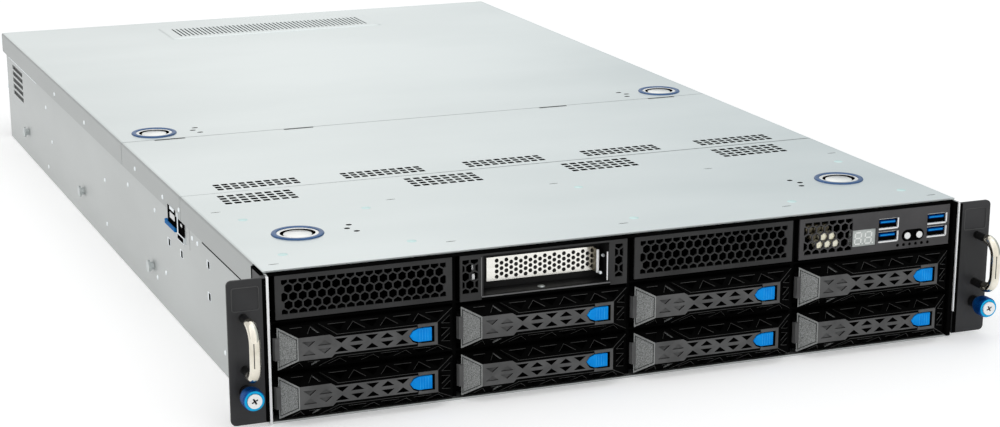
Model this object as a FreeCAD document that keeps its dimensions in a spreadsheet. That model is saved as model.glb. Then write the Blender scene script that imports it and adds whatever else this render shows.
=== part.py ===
import FreeCAD, Part
import math
import os

import Sketcher
from FreeCAD import Placement, Rotation, Vector

# A two-unit rack server with eight front drive bays. X runs to the right as seen from the front,
# Y runs back and Z up. The origin is the centre of the case's bottom face. Sizes are millimetres.
SIZES = {
    # Sheet-metal case: a folded pan under three lids
    "pan_length": 790.0,
    "floor_sheet": 1.2,
    "wall_sheet": 1.0,
    "lid_sheet": 1.0,
    "slip": 0.3,
    "skirt_drop": 15.6,
    "skirt_start": 22.0,
    "seam_gap": 0.6,
    "front_lid_start": 4.0,
    "mid_lid_length": 161.0,
    "rear_overhang": 10.0,
    # Drive cage: four columns, two rows of drives and a row of front modules
    "bay_pitch": 108.0,
    "row_pitch": 28.3,
    "side_margin": 1.7,
    "shelf": 1.0,
    "divider": 2.0,
    "cage_front": 4.0,
    "cage_over": 7.0,
    "cage_beam": 0.8,
    "beam_depth": 34.0,
    "cage_side": 1.0,
    "backplane_sheet": 2.4,
    "backplane_gap": 4.0,
    "backplane_web": 18.0,
    "backplane_rib": 4.7,
    # Rack ears with their handles and captive screws
    "ear_width": 22.6,
    "ear_sheet": 2.0,
    "ear_leg": 20.0,
    "ear_bottom": 2.2,
    "ear_height": 83.0,
    "ear_corner": 3.0,
    "ear_panel_width": 15.0,
    "ear_panel_height": 13.0,
    "ear_panel_depth": 0.4,
    "screw_inset": 8.75,
    "screw_height": 21.8,
    "screw_radius": 2.45,
    "screw_gap": 0.4,
    "screw_reach": 9.0,
    "screw_waist": 2.1,
    "screw_relief": 0.6,
    "knob_radius": 6.2,
    "knob_length": 12.5,
    "neck_radius": 4.3,
    "neck_length": 5.2,
    "knob_face_radius": 4.1,
    "knob_face_rise": 0.8,
    "driver_slot": 1.1,
    "driver_arm": 2.46,
    "handle_bar": 3.1,
    "handle_span": 32.2,
    "handle_reach": 20.0,
    "handle_bend": 9.0,
    "handle_gap": 0.7,
    # Slide-rail studs on both side walls
    "stud_height": 20.4,
    "stud_first": 271.0,
    "stud_last": 83.0,
    "stud_neck_radius": 2.6,
    "stud_neck_length": 2.2,
    "stud_head_radius": 4.0,
    "stud_head_length": 1.6,
    # Lid latches and vents
    "latch_outer": 15.4,
    "latch_fit": 0.1,
    "latch_rise": 0.8,
    "latch_depth": 5.0,
    "latch_button": 8.5,
    "rear_latch_inset": 28.0,
    "rear_latch_back": 21.0,
    "front_latch_inset": 42.0,
    "front_latch_back": 69.5,
    "seam_back": 19.0,
    "mid_vent_back": 14.0,
    "mid_vent_length": 53.0,
    "mid_vent_slot": 3.6,
    "mid_vent_pitch": 5.6,
    "front_vent_ahead": 18.5,
    "front_vent_length": 46.0,
    "front_vent_slot": 3.6,
    "front_vent_pitch": 6.05,
    "rear_vent_inset": 59.0,
    "rear_vent_length": 40.0,
    "rear_vent_slot": 1.6,
    "rear_vent_pitch": 3.56,
    "rear_vent_half_width": 83.0,
    "hook_slot_depth": 2.2,
    "hook_slot_width": 21.0,
    "hook_slot_inner": 95.0,
    "side_vent_inset": 48.0,
    "side_vent_length": 43.5,
    "side_vent_slot": 3.5,
    "side_vent_pitch": 5.3,
    "side_vent_height": 43.5,
    "side_window_back": 12.0,
    "side_window_length": 21.0,
    "side_window_height": 11.0,
    # Drive tray: bezel with sloped sides, carrier rails and the drive
    "bezel_margin": 2.5,
    "bezel_clear": 1.65,
    "bezel_plate": 2.5,
    "bezel_rise": 9.5,
    "face_height": 13.2,
    "face_lift": 1.4,
    "left_slope": 9.5,
    "right_slope": 12.3,
    "rail_sheet": 1.3,
    "rail_half_height": 11.0,
    "rail_start": 8.0,
    "tray_slip": 0.6,
    "tray_length": 158.0,
    "drive_front": 10.0,
    "drive_back_gap": 3.0,
    "spacer": 3.5,
    # Tray lever with its hinge and lattice of triangular holes
    "lever_gap": 0.4,
    "lever_bar_height": 9.8,
    "lever_bar_depth": 5.0,
    "seam_base": 21.0,
    "seam_face": 30.3,
    "lattice_web": 1.2,
    "lattice_rim": 1.0,
    "hinge_left": 0.7,
    "hinge_back": 1.0,
    "barrel_radius": 1.5,
    "barrel_height": 13.0,
    "pin_radius": 0.7,
    "pin_play": 0.15,
    "hinge_lug": 2.2,
    # Tray latch: a sliding bullet-shaped thumb catch
    "latch_frame": 12.1,
    "catch_length": 13.6,
    "catch_height": 8.8,
    "catch_nose": 5.5,
    "catch_cheek": 2.2,
    "catch_cheek_drop": 1.4,
    "catch_depth": 4.6,
    "catch_gap": 1.2,
    "catch_right": 3.1,
    # Front modules of the top row
    "panel_margin": 1.4,
    "panel_sheet": 1.2,
    "panel_return": 1.0,
    "panel_depth": 16.0,
    "hex_pitch": 5.5,
    "hex_flat": 4.75,
    "hex_side_margin": 3.6,
    "hex_height": 19.74,
    "hex_lift": 0.95,
    "slot_left": 14.0,
    "slot_right": 11.4,
    "slot_sill": 2.4,
    "slot_top": 1.0,
    "slot_strip_left": 10.4,
    "slot_strip_right": 4.8,
    "bracket_back": 12.8,
    "bracket_sheet": 1.0,
    "bracket_height": 14.0,
    "bracket_left_gap": 7.0,
    "bracket_fold": 7.0,
    # Control and port module, placed from its right edge
    "usb_width": 13.4,
    "usb_height": 6.2,
    "usb_wall": 0.5,
    "usb_depth": 12.0,
    "usb_right": 2.1,
    "usb_spacing": 33.8,
    "usb_low": 2.85,
    "usb_pitch": 8.1,
    "usb_tongue": 1.9,
    "port_gap": 0.3,
    "display_width": 16.0,
    "display_height": 10.4,
    "display_right": 59.0,
    "display_low": 2.2,
    "push_radius": 2.6,
    "push_travel": 0.8,
    "push_right": 21.1,
    "push_pitch": 8.3,
    "push_low": 3.65,
    "light_radius": 0.95,
    "light_right": 14.6,
    "light_pitch": 4.2,
    "light_low": 9.15,
    "display_depth": 5.3,
    # Inside: fan wall, main board and power supplies
    "fan_back": 35.0,
    "fan_margin": 8.95,
    "fan_space": 3.5,
    "fan_depth": 38.0,
    "fan_headroom": 4.7,
    "fan_rim": 3.0,
    "fan_tip_gap": 1.5,
    "fan_hub": 18.0,
    "fan_hub_length": 26.0,
    "fan_strut": 4.0,
    "blade_sheet": 1.4,
    "blade_chord": 26.0,
    "supply_width": 73.5,
    "supply_length": 185.0,
    "supply_gap": 0.5,
    "supply_side": 3.0,
    "inlet_width": 27.0,
    "inlet_height": 20.0,
    "inlet_depth": 14.0,
    "inlet_edge": 6.0,
    "supply_handle_reach": 20.0,
    "supply_handle_bar": 4.0,
    "supply_handle_length": 30.0,
    "board_sheet": 1.6,
    "board_lift": 6.0,
    "board_ahead": 60.0,
    "board_side": 6.0,
    "board_rear": 8.0,
    "standoff": 6.0,
    "sink_width": 80.0,
    "sink_length": 100.0,
    "sink_height": 58.0,
    "sink_base": 8.0,
    "sink_fin": 2.0,
    "sink_fin_pitch": 9.5,
    "sink_back": 40.0,
    "memory_sheet": 1.4,
    "memory_length": 133.0,
    "memory_height": 31.0,
    "memory_pitch": 9.5,
    "rear_slot_width": 112.0,
    "rear_slot_height": 14.0,
    "rear_slot_pitch": 20.3,
    "port_opening_width": 150.0,
    "port_opening_height": 20.0,
}

COLUMNS = 4
DRIVE_ROWS = 2
LATTICE_COLUMNS = 5
FANS = 5
FAN_BLADES = 5
BLADE_PITCH = 50
DUCT_SIDES = 12
BAR_SIDES = 8
BEND_FACETS = 3
RING_SIDES = 16
BUTTON_SIDES = 12
HOLE_SIDES = 12
PIN_SIDES = 8
STUDS = 3
SIDES = {"left": -1, "right": 1}


class Size:
    """A length as a spreadsheet formula, together with the number it stands for."""

    def __init__(self, text, value):
        self.text = text
        self.value = value

    def __add__(self, other):
        return Size(f"({self.text} + {formula(other)})", self.value + number(other))

    def __radd__(self, other):
        return self + other

    def __sub__(self, other):
        return Size(f"({self.text} - {formula(other)})", self.value - number(other))

    def __rsub__(self, other):
        return Size(f"({formula(other)} - {self.text})", number(other) - self.value)

    def __mul__(self, other):
        return Size(f"({self.text} * {formula(other)})", self.value * number(other))

    def __rmul__(self, other):
        return self * other

    def __truediv__(self, other):
        return Size(f"({self.text} / {formula(other)})", self.value / number(other))

    def __neg__(self):
        return Size(f"(0 - {self.text})", -self.value)


def formula(size):
    return size.text if isinstance(size, Size) else repr(size)


def number(size):
    return size.value if isinstance(size, Size) else size


def least(first, second):
    return Size(f"min({formula(first)}; {formula(second)})", min(number(first), number(second)))


class Sheet:
    """The driving sizes, each one a spreadsheet cell reached by its alias."""

    def __init__(self, document, sizes):
        cells = document.addObject("Spreadsheet::Sheet", "sizes")
        for row, (alias, value) in enumerate(sizes.items(), 1):
            cells.set(f"A{row}", alias)
            cells.set(f"B{row}", str(value))
            cells.setAlias(f"B{row}", alias)
            setattr(self, alias, Size(f"sizes.{alias}", value))
        document.recompute()


doc = FreeCAD.newDocument("rack_server")
d = Sheet(doc, SIZES)

# Planes and levels that the pieces share
front = -d.pan_length / 2
rear = d.pan_length / 2
half_inner = d.bay_pitch * (COLUMNS / 2) + d.side_margin
wall_out = half_inner + d.wall_sheet
half_width = wall_out + d.slip + d.lid_sheet
bays_base = d.floor_sheet - d.shelf / 2
bays_top = bays_base + d.row_pitch * (DRIVE_ROWS + 1) - d.shelf / 2
lid_under = bays_top + d.cage_beam + d.slip
lid_top = lid_under + d.lid_sheet
wall_top = lid_under - d.slip
cage_end = front + d.tray_length + d.cage_over
seam = cage_end + d.seam_back
mid_end = seam + d.mid_lid_length
lid_rear = rear + d.rear_overhang
screw_x = wall_out + d.ear_width - d.screw_inset
handle_low = d.screw_height + d.knob_radius + d.handle_bar + d.handle_gap
bezel_half = d.bay_pitch / 2 - d.bezel_margin
bezel_half_height = d.row_pitch / 2 - d.bezel_clear
face_left = -bezel_half + d.left_slope
face_right = bezel_half - d.right_slope
bar_half = d.lever_bar_height / 2
lever_end = face_right - d.latch_frame
catch_end = face_right - d.catch_right
catch_tip = catch_end - d.catch_length
rail_out = d.bay_pitch / 2 - d.divider / 2 - d.tray_slip
panel_half = d.bay_pitch / 2 - d.divider / 2 - d.panel_margin
panel_half_height = d.row_pitch / 2 - d.shelf / 2 - d.slip
fan_start = cage_end + d.fan_back
fan_pitch = (2 * half_inner - 2 * d.fan_margin) / FANS
fan_width = fan_pitch - d.fan_space
fan_height = lid_under - d.floor_sheet - d.slip - d.fan_headroom
fan_bore = least(fan_width, fan_height) / 2 - d.fan_rim
fan_z = d.floor_sheet + d.slip + fan_height / 2
supply_left = -half_inner + d.supply_side
supply_right = supply_left + d.supply_width
supply_height = (wall_top - d.floor_sheet - 3 * d.supply_gap) / 2
board_top = d.floor_sheet + d.board_lift + d.board_sheet


def column_x(column):
    return d.bay_pitch * (column - (COLUMNS - 1) / 2)


def row_z(row):
    return bays_base + d.row_pitch * (row + 0.5)


def bind(item, path, size):
    item.setExpression(path, formula(size))


def move(item, x, y, z):
    for axis, size in zip("xyz", (x, y, z)):
        bind(item, f"Placement.Base.{axis}", size)
    return item


def box(name, x, y, z):
    """A block given by its low and high limits along each axis."""
    item = doc.addObject("Part::Box", name)
    for length, (low, high) in zip(("Length", "Width", "Height"), (x, y, z)):
        bind(item, length, high - low)
    return move(item, x[0], y[0], z[0])


AXIS_TURN = {
    "x": Rotation(Vector(0, 1, 0), 90),
    "y": Rotation(Vector(1, 0, 0), -90),
    "z": Rotation(),
}


def rod(name, start, radius, length, axis):
    """A round bar from a start point along an axis."""
    item = doc.addObject("Part::Cylinder", name)
    item.Placement = Placement(Vector(), AXIS_TURN[axis])
    bind(item, "Radius", radius)
    bind(item, "Height", length)
    return move(item, *start)


def many_sided_bar(name, start, sides, radius, length, axis):
    """A bar with flat sides, used where a piece is knurled or faceted."""
    item = doc.addObject("Part::Prism", name)
    item.Polygon = sides
    item.Placement = Placement(Vector(), AXIS_TURN[axis])
    bind(item, "Circumradius", radius)
    bind(item, "Height", length)
    return move(item, *start)


def combine(kind, name, items):
    item = doc.addObject(kind, name)
    if kind == "Part::Compound":
        item.Links = items
    else:
        item.Shapes = items
        item.Refine = True
    return item


def fuse(name, *items):
    return combine("Part::MultiFuse", name, list(items))


def common(name, *items):
    return combine("Part::MultiCommon", name, list(items))


def group(name, *items):
    return combine("Part::Compound", name, list(items))


def cut(name, base, *tools):
    item = doc.addObject("Part::Cut", name)
    item.Base = base
    item.Tool = tools[0] if len(tools) == 1 else fuse(f"{name}_tool", *tools)
    item.Refine = True
    return item


def draw(sketch, points, closed=True):
    """Draw an outline, or an open run of lines, and tie each corner to its two sizes."""
    corners = [Vector(number(x), number(y), 0) for x, y in points]
    count = len(corners)
    lines = count if closed else count - 1
    for index in range(lines):
        line = Part.LineSegment(corners[index], corners[(index + 1) % count])
        sketch.addGeometry(line, False)
    for index in range(lines if closed else lines - 1):
        sketch.addConstraint(Sketcher.Constraint("Coincident", index, 2, (index + 1) % count, 1))
    for index, point in enumerate(points):
        end = (index, 1) if index < lines else (lines - 1, 2)
        for kind, size in zip(("DistanceX", "DistanceY"), point):
            datum = Sketcher.Constraint(kind, -1, 1, *end, number(size))
            place = sketch.addConstraint(datum)
            bind(sketch, f"Constraints[{place}]", size)


SKETCH_TURN = {
    "XY": Rotation(),
    "XZ": Rotation(Vector(1, 0, 0), 90),
    "YZ": Rotation(Vector(1, 1, 1), 120),
}
SKETCH_NORMAL = {"XY": ("z", (0, 0, 1)), "XZ": ("y", (0, 1, 0)), "YZ": ("x", (1, 0, 0))}


def extrude(name, plane, points, low, high):
    """A straight extrusion of an outline between two levels across its plane."""
    sketch = doc.addObject("Sketcher::SketchObject", f"{name}_outline")
    sketch.Placement = Placement(Vector(), SKETCH_TURN[plane])
    draw(sketch, points)
    axis, direction = SKETCH_NORMAL[plane]
    bind(sketch, f"Placement.Base.{axis}", low)
    item = doc.addObject("Part::Extrusion", name)
    item.Base = sketch
    item.DirMode = "Custom"
    item.Dir = Vector(*direction)
    item.Solid = True
    bind(item, "LengthFwd", high - low)
    return item


def body_sketch(body, name, role, points):
    """A sketch on one of a body's own origin planes."""
    sketch = body.newObject("Sketcher::SketchObject", name)
    plane = next(item for item in body.Origin.OriginFeatures if item.Role == role)
    sketch.AttachmentSupport = (plane, [""])
    sketch.MapMode = "FlatFace"
    draw(sketch, points)
    return sketch


def pad(body, name, sketch, length, offset):
    """A pad whose sketch stands at an offset along its own normal."""
    bind(sketch, "AttachmentOffset.Base.z", offset)
    item = body.newObject("PartDesign::Pad", name)
    item.Profile = sketch
    bind(item, "Length", length)
    return item


def shaped(name, shape):
    """A piece made by direct modelling, for grids of holes."""
    item = doc.addObject("Part::Feature", name)
    item.Shape = shape
    return item


def copy_at(name, source, x, y, z):
    item = doc.addObject("Part::Feature", name)
    item.Shape = source.Shape
    return move(item, x, y, z)


def span(side, low, high):
    """Limits along X on the left (-1) or right (1) side of the case."""
    return (low, high) if side > 0 else (-high, -low)


def slot_grid(x, y, z, slot, pitch):
    """Long slots one behind the other, cut through a sheet: x is the slot's span, y the rows' centre."""
    slots = []
    for step in centred(slot[1]):
        low_y = number(y) + step * number(pitch) - number(slot[0]) / 2
        corner = Vector(number(x[0]), low_y, number(z[0]))
        slots.append(Part.makeBox(number(x[1] - x[0]), number(slot[0]), number(z[1] - z[0]), corner))
    return slots


def centred(count):
    """Evenly spaced steps about zero."""
    return [index - (count - 1) / 2 for index in range(count)]


def chassis_base():
    """The case pan: floor and side walls folded from one sheet, with the rear wall welded in."""
    body = doc.addObject("PartDesign::Body", "pan_fold")
    inner, outer = half_inner, wall_out
    points = [(-outer, 0.0), (outer, 0.0), (outer, wall_top), (inner, wall_top)]
    points += [(inner, d.floor_sheet), (-inner, d.floor_sheet), (-inner, wall_top), (-outer, wall_top)]
    pad(body, "pan_length", body_sketch(body, "pan_profile", "XZ_Plane", points), d.pan_length, -rear)
    rear_wall = box("rear_wall", (-inner, inner), (rear - d.wall_sheet, rear), (d.floor_sheet, wall_top))
    through = (rear - 2 * d.wall_sheet, rear + d.wall_sheet)
    bay = (d.floor_sheet + d.supply_gap, wall_top - d.supply_gap)
    edge = d.supply_gap
    openings = [box("supply_opening", (supply_left - edge, supply_right + edge), through, bay)]
    middle = (supply_right + half_inner) / 2
    ports = (middle - d.port_opening_width / 2, middle + d.port_opening_width / 2)
    low = board_top + d.slip
    openings.append(box("port_opening", ports, through, (low, low + d.port_opening_height)))
    for stack, side in enumerate((-1, 1)):
        centre = middle + side * (d.rear_slot_width / 2 + d.rear_slot_height / 2)
        for level in range(2):
            base = low + d.port_opening_height + d.rear_slot_height / 2 + level * d.rear_slot_pitch
            limits = (centre - d.rear_slot_width / 2, centre + d.rear_slot_width / 2)
            name = f"rear_slot_{stack}_{level}"
            openings.append(box(name, limits, through, (base, base + d.rear_slot_height)))
    case = fuse("pan_and_rear", body, cut("rear_wall_open", rear_wall, *openings))
    across = (-outer - d.wall_sheet, outer + d.wall_sheet)
    middle_y = rear - d.side_vent_inset
    vent_y = (middle_y - d.side_vent_length / 2, middle_y + d.side_vent_length / 2)
    windows = []
    for step in range(5):
        base = d.side_vent_height - d.side_vent_slot / 2 + step * d.side_vent_pitch
        windows.append(box(f"side_vent_{step}", across, vent_y, (base, base + d.side_vent_slot)))
    skirt_end = lid_top - d.skirt_drop
    for name, low_y in (("a", seam - d.side_window_back), ("b", seam + d.side_window_back)):
        window_y = (low_y, low_y + d.side_window_length)
        window_z = (skirt_end - d.side_window_height, skirt_end)
        windows.append(box(f"side_window_{name}", across, window_y, window_z))
    return cut("chassis_base", case, *windows)


def drive_cage():
    """Dividers, shelves and beams of the drive cage, separate sheets riveted together."""
    start = front + d.cage_front
    end = cage_end
    sheets = []
    for index in range(1, COLUMNS):
        centre = d.bay_pitch * (index - COLUMNS / 2)
        limits = (centre - d.divider / 2, centre + d.divider / 2)
        sheets.append(box(f"cage_divider_{index}", limits, (start, end), (d.floor_sheet, bays_top)))
    for name, side in SIDES.items():
        limits = span(side, half_inner - d.cage_side, half_inner)
        sheets.append(box(f"cage_side_{name}", limits, (start, end), (d.floor_sheet, bays_top)))
    for row in range(1, DRIVE_ROWS + 1):
        level = bays_base + d.row_pitch * row
        heights = (level - d.shelf / 2, level + d.shelf / 2)
        for column in range(COLUMNS):
            low = column_x(column) - d.bay_pitch / 2 + d.divider / 2
            high = column_x(column) + d.bay_pitch / 2 - d.divider / 2
            if column == 0:
                low = -half_inner + d.cage_side
            if column == COLUMNS - 1:
                high = half_inner - d.cage_side
            sheets.append(box(f"cage_shelf_{row}_{column}", (low, high), (start, end), heights))
    beam_z = (bays_top, bays_top + d.cage_beam)
    limits = (-half_inner, half_inner)
    sheets.append(box("cage_front_beam", limits, (front, front + d.beam_depth), beam_z))
    sheets.append(box("cage_rear_beam", limits, (end - d.beam_depth, end), beam_z))
    return group("drive_cage", *sheets)


def drive_backplane():
    """The circuit board that the drives plug into, standing behind the cage."""
    start = cage_end + d.backplane_gap
    limits = (-half_inner + d.slip, half_inner - d.slip)
    depth = (start, start + d.backplane_sheet)
    board = box("backplane_board", limits, depth, (d.floor_sheet, bays_top))
    holes = []
    for column in range(COLUMNS):
        centre = column_x(column)
        level = row_z(DRIVE_ROWS)
        reach = (start - d.backplane_sheet, start + 2 * d.backplane_sheet)
        half, tall = d.bay_pitch / 2 - d.backplane_web, d.row_pitch / 2 - d.backplane_rib
        wide, high = (centre - half, centre + half), (level - tall, level + tall)
        holes.append(box(f"backplane_hole_{column}", wide, reach, high))
    return cut("drive_backplane", board, *holes)


def rack_ear(name, side):
    """A rack ear: an angle of thick sheet, its leg on the side wall and its face to the rack."""
    body = doc.addObject("PartDesign::Body", f"{name}_angle")
    near, far = wall_out, wall_out + d.ear_width
    leg = wall_out + d.ear_sheet
    points = [(near, front - d.ear_sheet), (far, front - d.ear_sheet), (far, front), (leg, front)]
    points += [(leg, front + d.ear_leg), (near, front + d.ear_leg)]
    if side < 0:
        points = [(-x, y) for x, y in reversed(points)]
    angle = pad(body, f"{name}_pad", body_sketch(body, f"{name}_profile", "XY_Plane", points), d.ear_height,
                d.ear_bottom)
    doc.recompute()
    outer = number(far) * side
    edges = [f"Edge{index}" for index, edge in enumerate(angle.Shape.Edges, 1)
             if all(abs(vertex.X - outer) < 0.01 for vertex in edge.Vertexes)
             and abs(edge.Vertexes[0].Z - edge.Vertexes[-1].Z) < 0.01]
    corner = body.newObject("PartDesign::Fillet", f"{name}_corners")
    corner.Base = (angle, edges)
    bind(corner, "Radius", d.ear_corner)
    hole = many_sided_bar(f"{name}_screw_hole", (side * screw_x, front - 2 * d.ear_sheet, d.screw_height),
                          HOLE_SIDES, d.screw_radius + d.screw_gap, 3 * d.ear_sheet, "y")
    middle = wall_out + d.ear_sheet + (d.ear_width - d.ear_sheet) / 2
    low = handle_low + d.handle_span + d.handle_bar + d.handle_gap
    panel = box(f"{name}_panel", span(side, middle - d.ear_panel_width / 2, middle + d.ear_panel_width / 2),
                (front - 2 * d.ear_sheet, front - d.ear_sheet + d.ear_panel_depth),
                (low, low + d.ear_panel_height))
    return cut(name, body, hole, panel)


def bow(name, x, root):
    """A bow handle: a faceted bar carried along its path, with each bend in a few straight steps."""
    low, high = handle_low, handle_low + d.handle_span
    bend_y = root - d.handle_reach + d.handle_bend
    turns = [math.radians(90 * step / BEND_FACETS) for step in range(BEND_FACETS + 1)]
    steps = [(bend_y - d.handle_bend * math.sin(turn), d.handle_bend * (1 - math.cos(turn))) for turn in turns]
    points = [(root, low), *[(y, low + rise) for y, rise in steps]]
    points += [*[(y, high - rise) for y, rise in reversed(steps)], (root, high)]
    path = doc.addObject("Sketcher::SketchObject", f"{name}_path")
    path.Placement = Placement(Vector(), SKETCH_TURN["YZ"])
    draw(path, points, closed=False)
    bind(path, "Placement.Base.x", x)
    profile = doc.addObject("Part::RegularPolygon", f"{name}_profile")
    profile.Polygon = BAR_SIDES
    profile.Placement = Placement(Vector(), AXIS_TURN["y"])
    bind(profile, "Circumradius", d.handle_bar)
    move(profile, x, root, low)
    item = doc.addObject("Part::Sweep", name)
    item.Sections = [profile]
    item.Spine = (path, [f"Edge{index}" for index in range(1, len(points))])
    item.Solid = True
    item.Transition = "Right corner"
    return item


def rack_handles():
    """Two bow handles bent from bar, each end screwed to its ear from behind."""
    root = front - d.ear_sheet
    return group("rack_handles", *[bow(f"{name}_bow", side * screw_x, root) for name, side in SIDES.items()])


def thumbscrew(name, side):
    """A captive screw: knurled knob, narrow waist through the ear and a threaded end behind it."""
    x, z = side * screw_x, d.screw_height
    neck_back = front - d.ear_sheet - d.slip
    neck_front = neck_back - d.neck_length
    knob_front = neck_front - d.knob_length
    face = knob_front - d.knob_face_rise
    thread_start = front + d.screw_relief
    waist = many_sided_bar(f"{name}_waist", (x, neck_front, z), 12, d.screw_waist,
                           thread_start - neck_front, "y")
    thread = rod(f"{name}_thread", (x, thread_start, z), d.screw_radius, d.screw_reach, "y")
    neck = many_sided_bar(f"{name}_neck", (x, neck_front, z), 12, d.neck_radius, d.neck_length, "y")
    knob = many_sided_bar(f"{name}_knob", (x, knob_front, z), 20, d.knob_radius, d.knob_length, "y")
    disc = many_sided_bar(f"{name}_face", (x, face, z), 12, d.knob_face_radius, d.knob_face_rise, "y")
    half, arm = d.driver_slot / 2, d.driver_arm
    depth = (face - d.slip, face + d.knob_face_rise)
    slots = [box(f"{name}_slot_a", (x - arm, x + arm), depth, (z - half, z + half)),
             box(f"{name}_slot_b", (x - half, x + half), depth, (z - arm, z + arm))]
    return cut(name, fuse(f"{name}_turned", waist, thread, neck, knob, disc), *slots)


def rail_studs():
    """Headed studs riveted to the side walls, which drop into the slide rails."""
    pitch = (d.pan_length - d.stud_first - d.stud_last) / (STUDS - 1)
    neck_end = wall_out + d.stud_neck_length
    studs = []
    for name, side in SIDES.items():
        neck_x = span(side, wall_out, neck_end)[0]
        head_x = span(side, neck_end, neck_end + d.stud_head_length)[0]
        for index in range(STUDS):
            y = front + d.stud_first + index * pitch
            label = f"{name}_stud_{index}"
            neck = many_sided_bar(f"{label}_neck", (neck_x, y, d.stud_height), PIN_SIDES,
                                  d.stud_neck_radius, d.stud_neck_length, "x")
            head = rod(f"{label}_head", (head_x, y, d.stud_height), d.stud_head_radius,
                       d.stud_head_length, "x")
            studs.append(fuse(label, neck, head))
    return group("rail_studs", *studs)


def lid(name, y, skirt_y=None):
    """A lid folded from one sheet: a flat top with a skirt down each side."""
    body = doc.addObject("PartDesign::Body", f"{name}_fold")
    outer, inner = half_width, half_width - d.lid_sheet
    skirt_end = lid_top - d.skirt_drop
    points = [(-outer, skirt_end), (-inner, skirt_end), (-inner, lid_under), (inner, lid_under)]
    points += [(inner, skirt_end), (outer, skirt_end), (outer, lid_top), (-outer, lid_top)]
    sketch = body_sketch(body, f"{name}_profile", "XZ_Plane", points)
    pad(body, f"{name}_pad", sketch, y[1] - y[0], -y[1])
    folded = body
    if skirt_y is not None:
        trims = [box(f"{name}_trim_{side}", span(sign, inner - d.slip, outer + d.slip),
                     (y[0] - d.slip, skirt_y), (skirt_end - d.slip, lid_under))
                 for side, sign in SIDES.items()]
        folded = cut(f"{name}_trimmed", folded, *trims)
    return folded


def latch_hole(name, x, y):
    return many_sided_bar(name, (x, y, lid_under - d.slip), RING_SIDES, d.latch_outer + d.latch_fit,
                          d.lid_sheet + 2 * d.slip, "z")


def vent_tool(name, centres, y, length, slot, rows, pitch):
    """Rows of slots for a lid vent, in groups along X."""
    through = (lid_under - d.slip, lid_top + d.slip)
    slots = []
    for x in centres:
        slots += slot_grid((x - length / 2, x + length / 2), y, through, (slot, rows), pitch)
    return shaped(name, Part.makeCompound(slots))


def outlet_tool(name):
    """The rear lid's outlet: narrow slots side by side, running front to back."""
    count = int(2 * number(d.rear_vent_half_width) / number(d.rear_vent_pitch)) + 1
    y = lid_rear - d.rear_vent_inset - d.rear_vent_length / 2
    z = lid_under - d.slip
    slots = []
    for step in centred(count):
        x = step * number(d.rear_vent_pitch) - number(d.rear_vent_slot) / 2
        corner = Vector(x, number(y), number(z))
        slots.append(Part.makeBox(number(d.rear_vent_slot), number(d.rear_vent_length),
                                  number(d.lid_sheet + 2 * d.slip), corner))
    return shaped(name, Part.makeCompound(slots))


def rear_latch_places():
    y = mid_end + d.rear_latch_back
    return {side: (sign * (half_width - d.rear_latch_inset), y) for side, sign in SIDES.items()}


def front_latch_places():
    y = front + d.front_lid_start + d.front_latch_back
    return {side: (sign * (half_width - d.front_latch_inset), y) for side, sign in SIDES.items()}


def rear_cover():
    """The long rear lid, over the main board, with a slotted outlet near its back edge."""
    folded = lid("rear_lid", (mid_end + d.seam_gap / 2, lid_rear))
    tools = [latch_hole(f"rear_hole_{side}", x, y) for side, (x, y) in rear_latch_places().items()]
    return cut("rear_cover", cut("rear_lid_drilled", folded, *tools), outlet_tool("rear_vent"))


def mid_cover():
    """The fixed lid over the fan wall, with an inlet vent above each fan."""
    limits = (seam + d.seam_gap / 2, mid_end - d.seam_gap / 2)
    folded = lid("mid_lid", limits)
    vent = vent_tool("mid_vent", [fan_pitch * step for step in centred(FANS)], seam + d.mid_vent_back,
                     d.mid_vent_length, d.mid_vent_slot, 3, d.mid_vent_pitch)
    notches = []
    inner = (half_width - d.rear_latch_inset, d.hook_slot_inner)
    for side, sign in SIDES.items():
        for index, centre in enumerate(inner):
            wide = span(sign, centre - d.hook_slot_width / 2, centre + d.hook_slot_width / 2)
            deep = (limits[1] - d.hook_slot_depth, limits[1] + d.slip)
            high = (lid_under - d.slip, lid_top + d.slip)
            notches.append(box(f"hook_slot_{side}_{index}", wide, deep, high))
    return cut("mid_cover", cut("mid_lid_notched", folded, *notches), vent)


def front_cover():
    """The front lid over the drive cage, with outlets above the gap behind the drives."""
    folded = lid("front_lid", (front + d.front_lid_start, seam - d.seam_gap / 2),
                 front + d.skirt_start)
    tools = [latch_hole(f"front_hole_{side}", x, y) for side, (x, y) in front_latch_places().items()]
    vent = vent_tool("front_vent", [column_x(column) for column in range(COLUMNS)],
                     seam - d.front_vent_ahead, d.front_vent_length, d.front_vent_slot, 4,
                     d.front_vent_pitch)
    return cut("front_cover", cut("front_lid_drilled", folded, *tools), vent)


def latch_rings(name, places):
    """Rings set into a lid, each one proud of the sheet and bored for its push button."""
    rings = []
    bottom = lid_top - d.latch_depth
    for side, (x, y) in places.items():
        label = f"{name}_{side}"
        outer = many_sided_bar(f"{label}_outer", (x, y, bottom), RING_SIDES, d.latch_outer,
                               d.latch_depth + d.latch_rise, "z")
        bore = many_sided_bar(f"{label}_bore", (x, y, bottom - d.slip), BUTTON_SIDES,
                              d.latch_button + d.slip, d.latch_depth + 3 * d.latch_rise, "z")
        rings.append(cut(label, outer, bore))
    return group(name, *rings)


def latch_button(name, place):
    """The push button of a lid latch, standing in its ring."""
    x, y = place
    bottom = lid_top - d.latch_depth
    return many_sided_bar(name, (x, y, bottom), BUTTON_SIDES, d.latch_button, d.latch_depth, "z")


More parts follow.
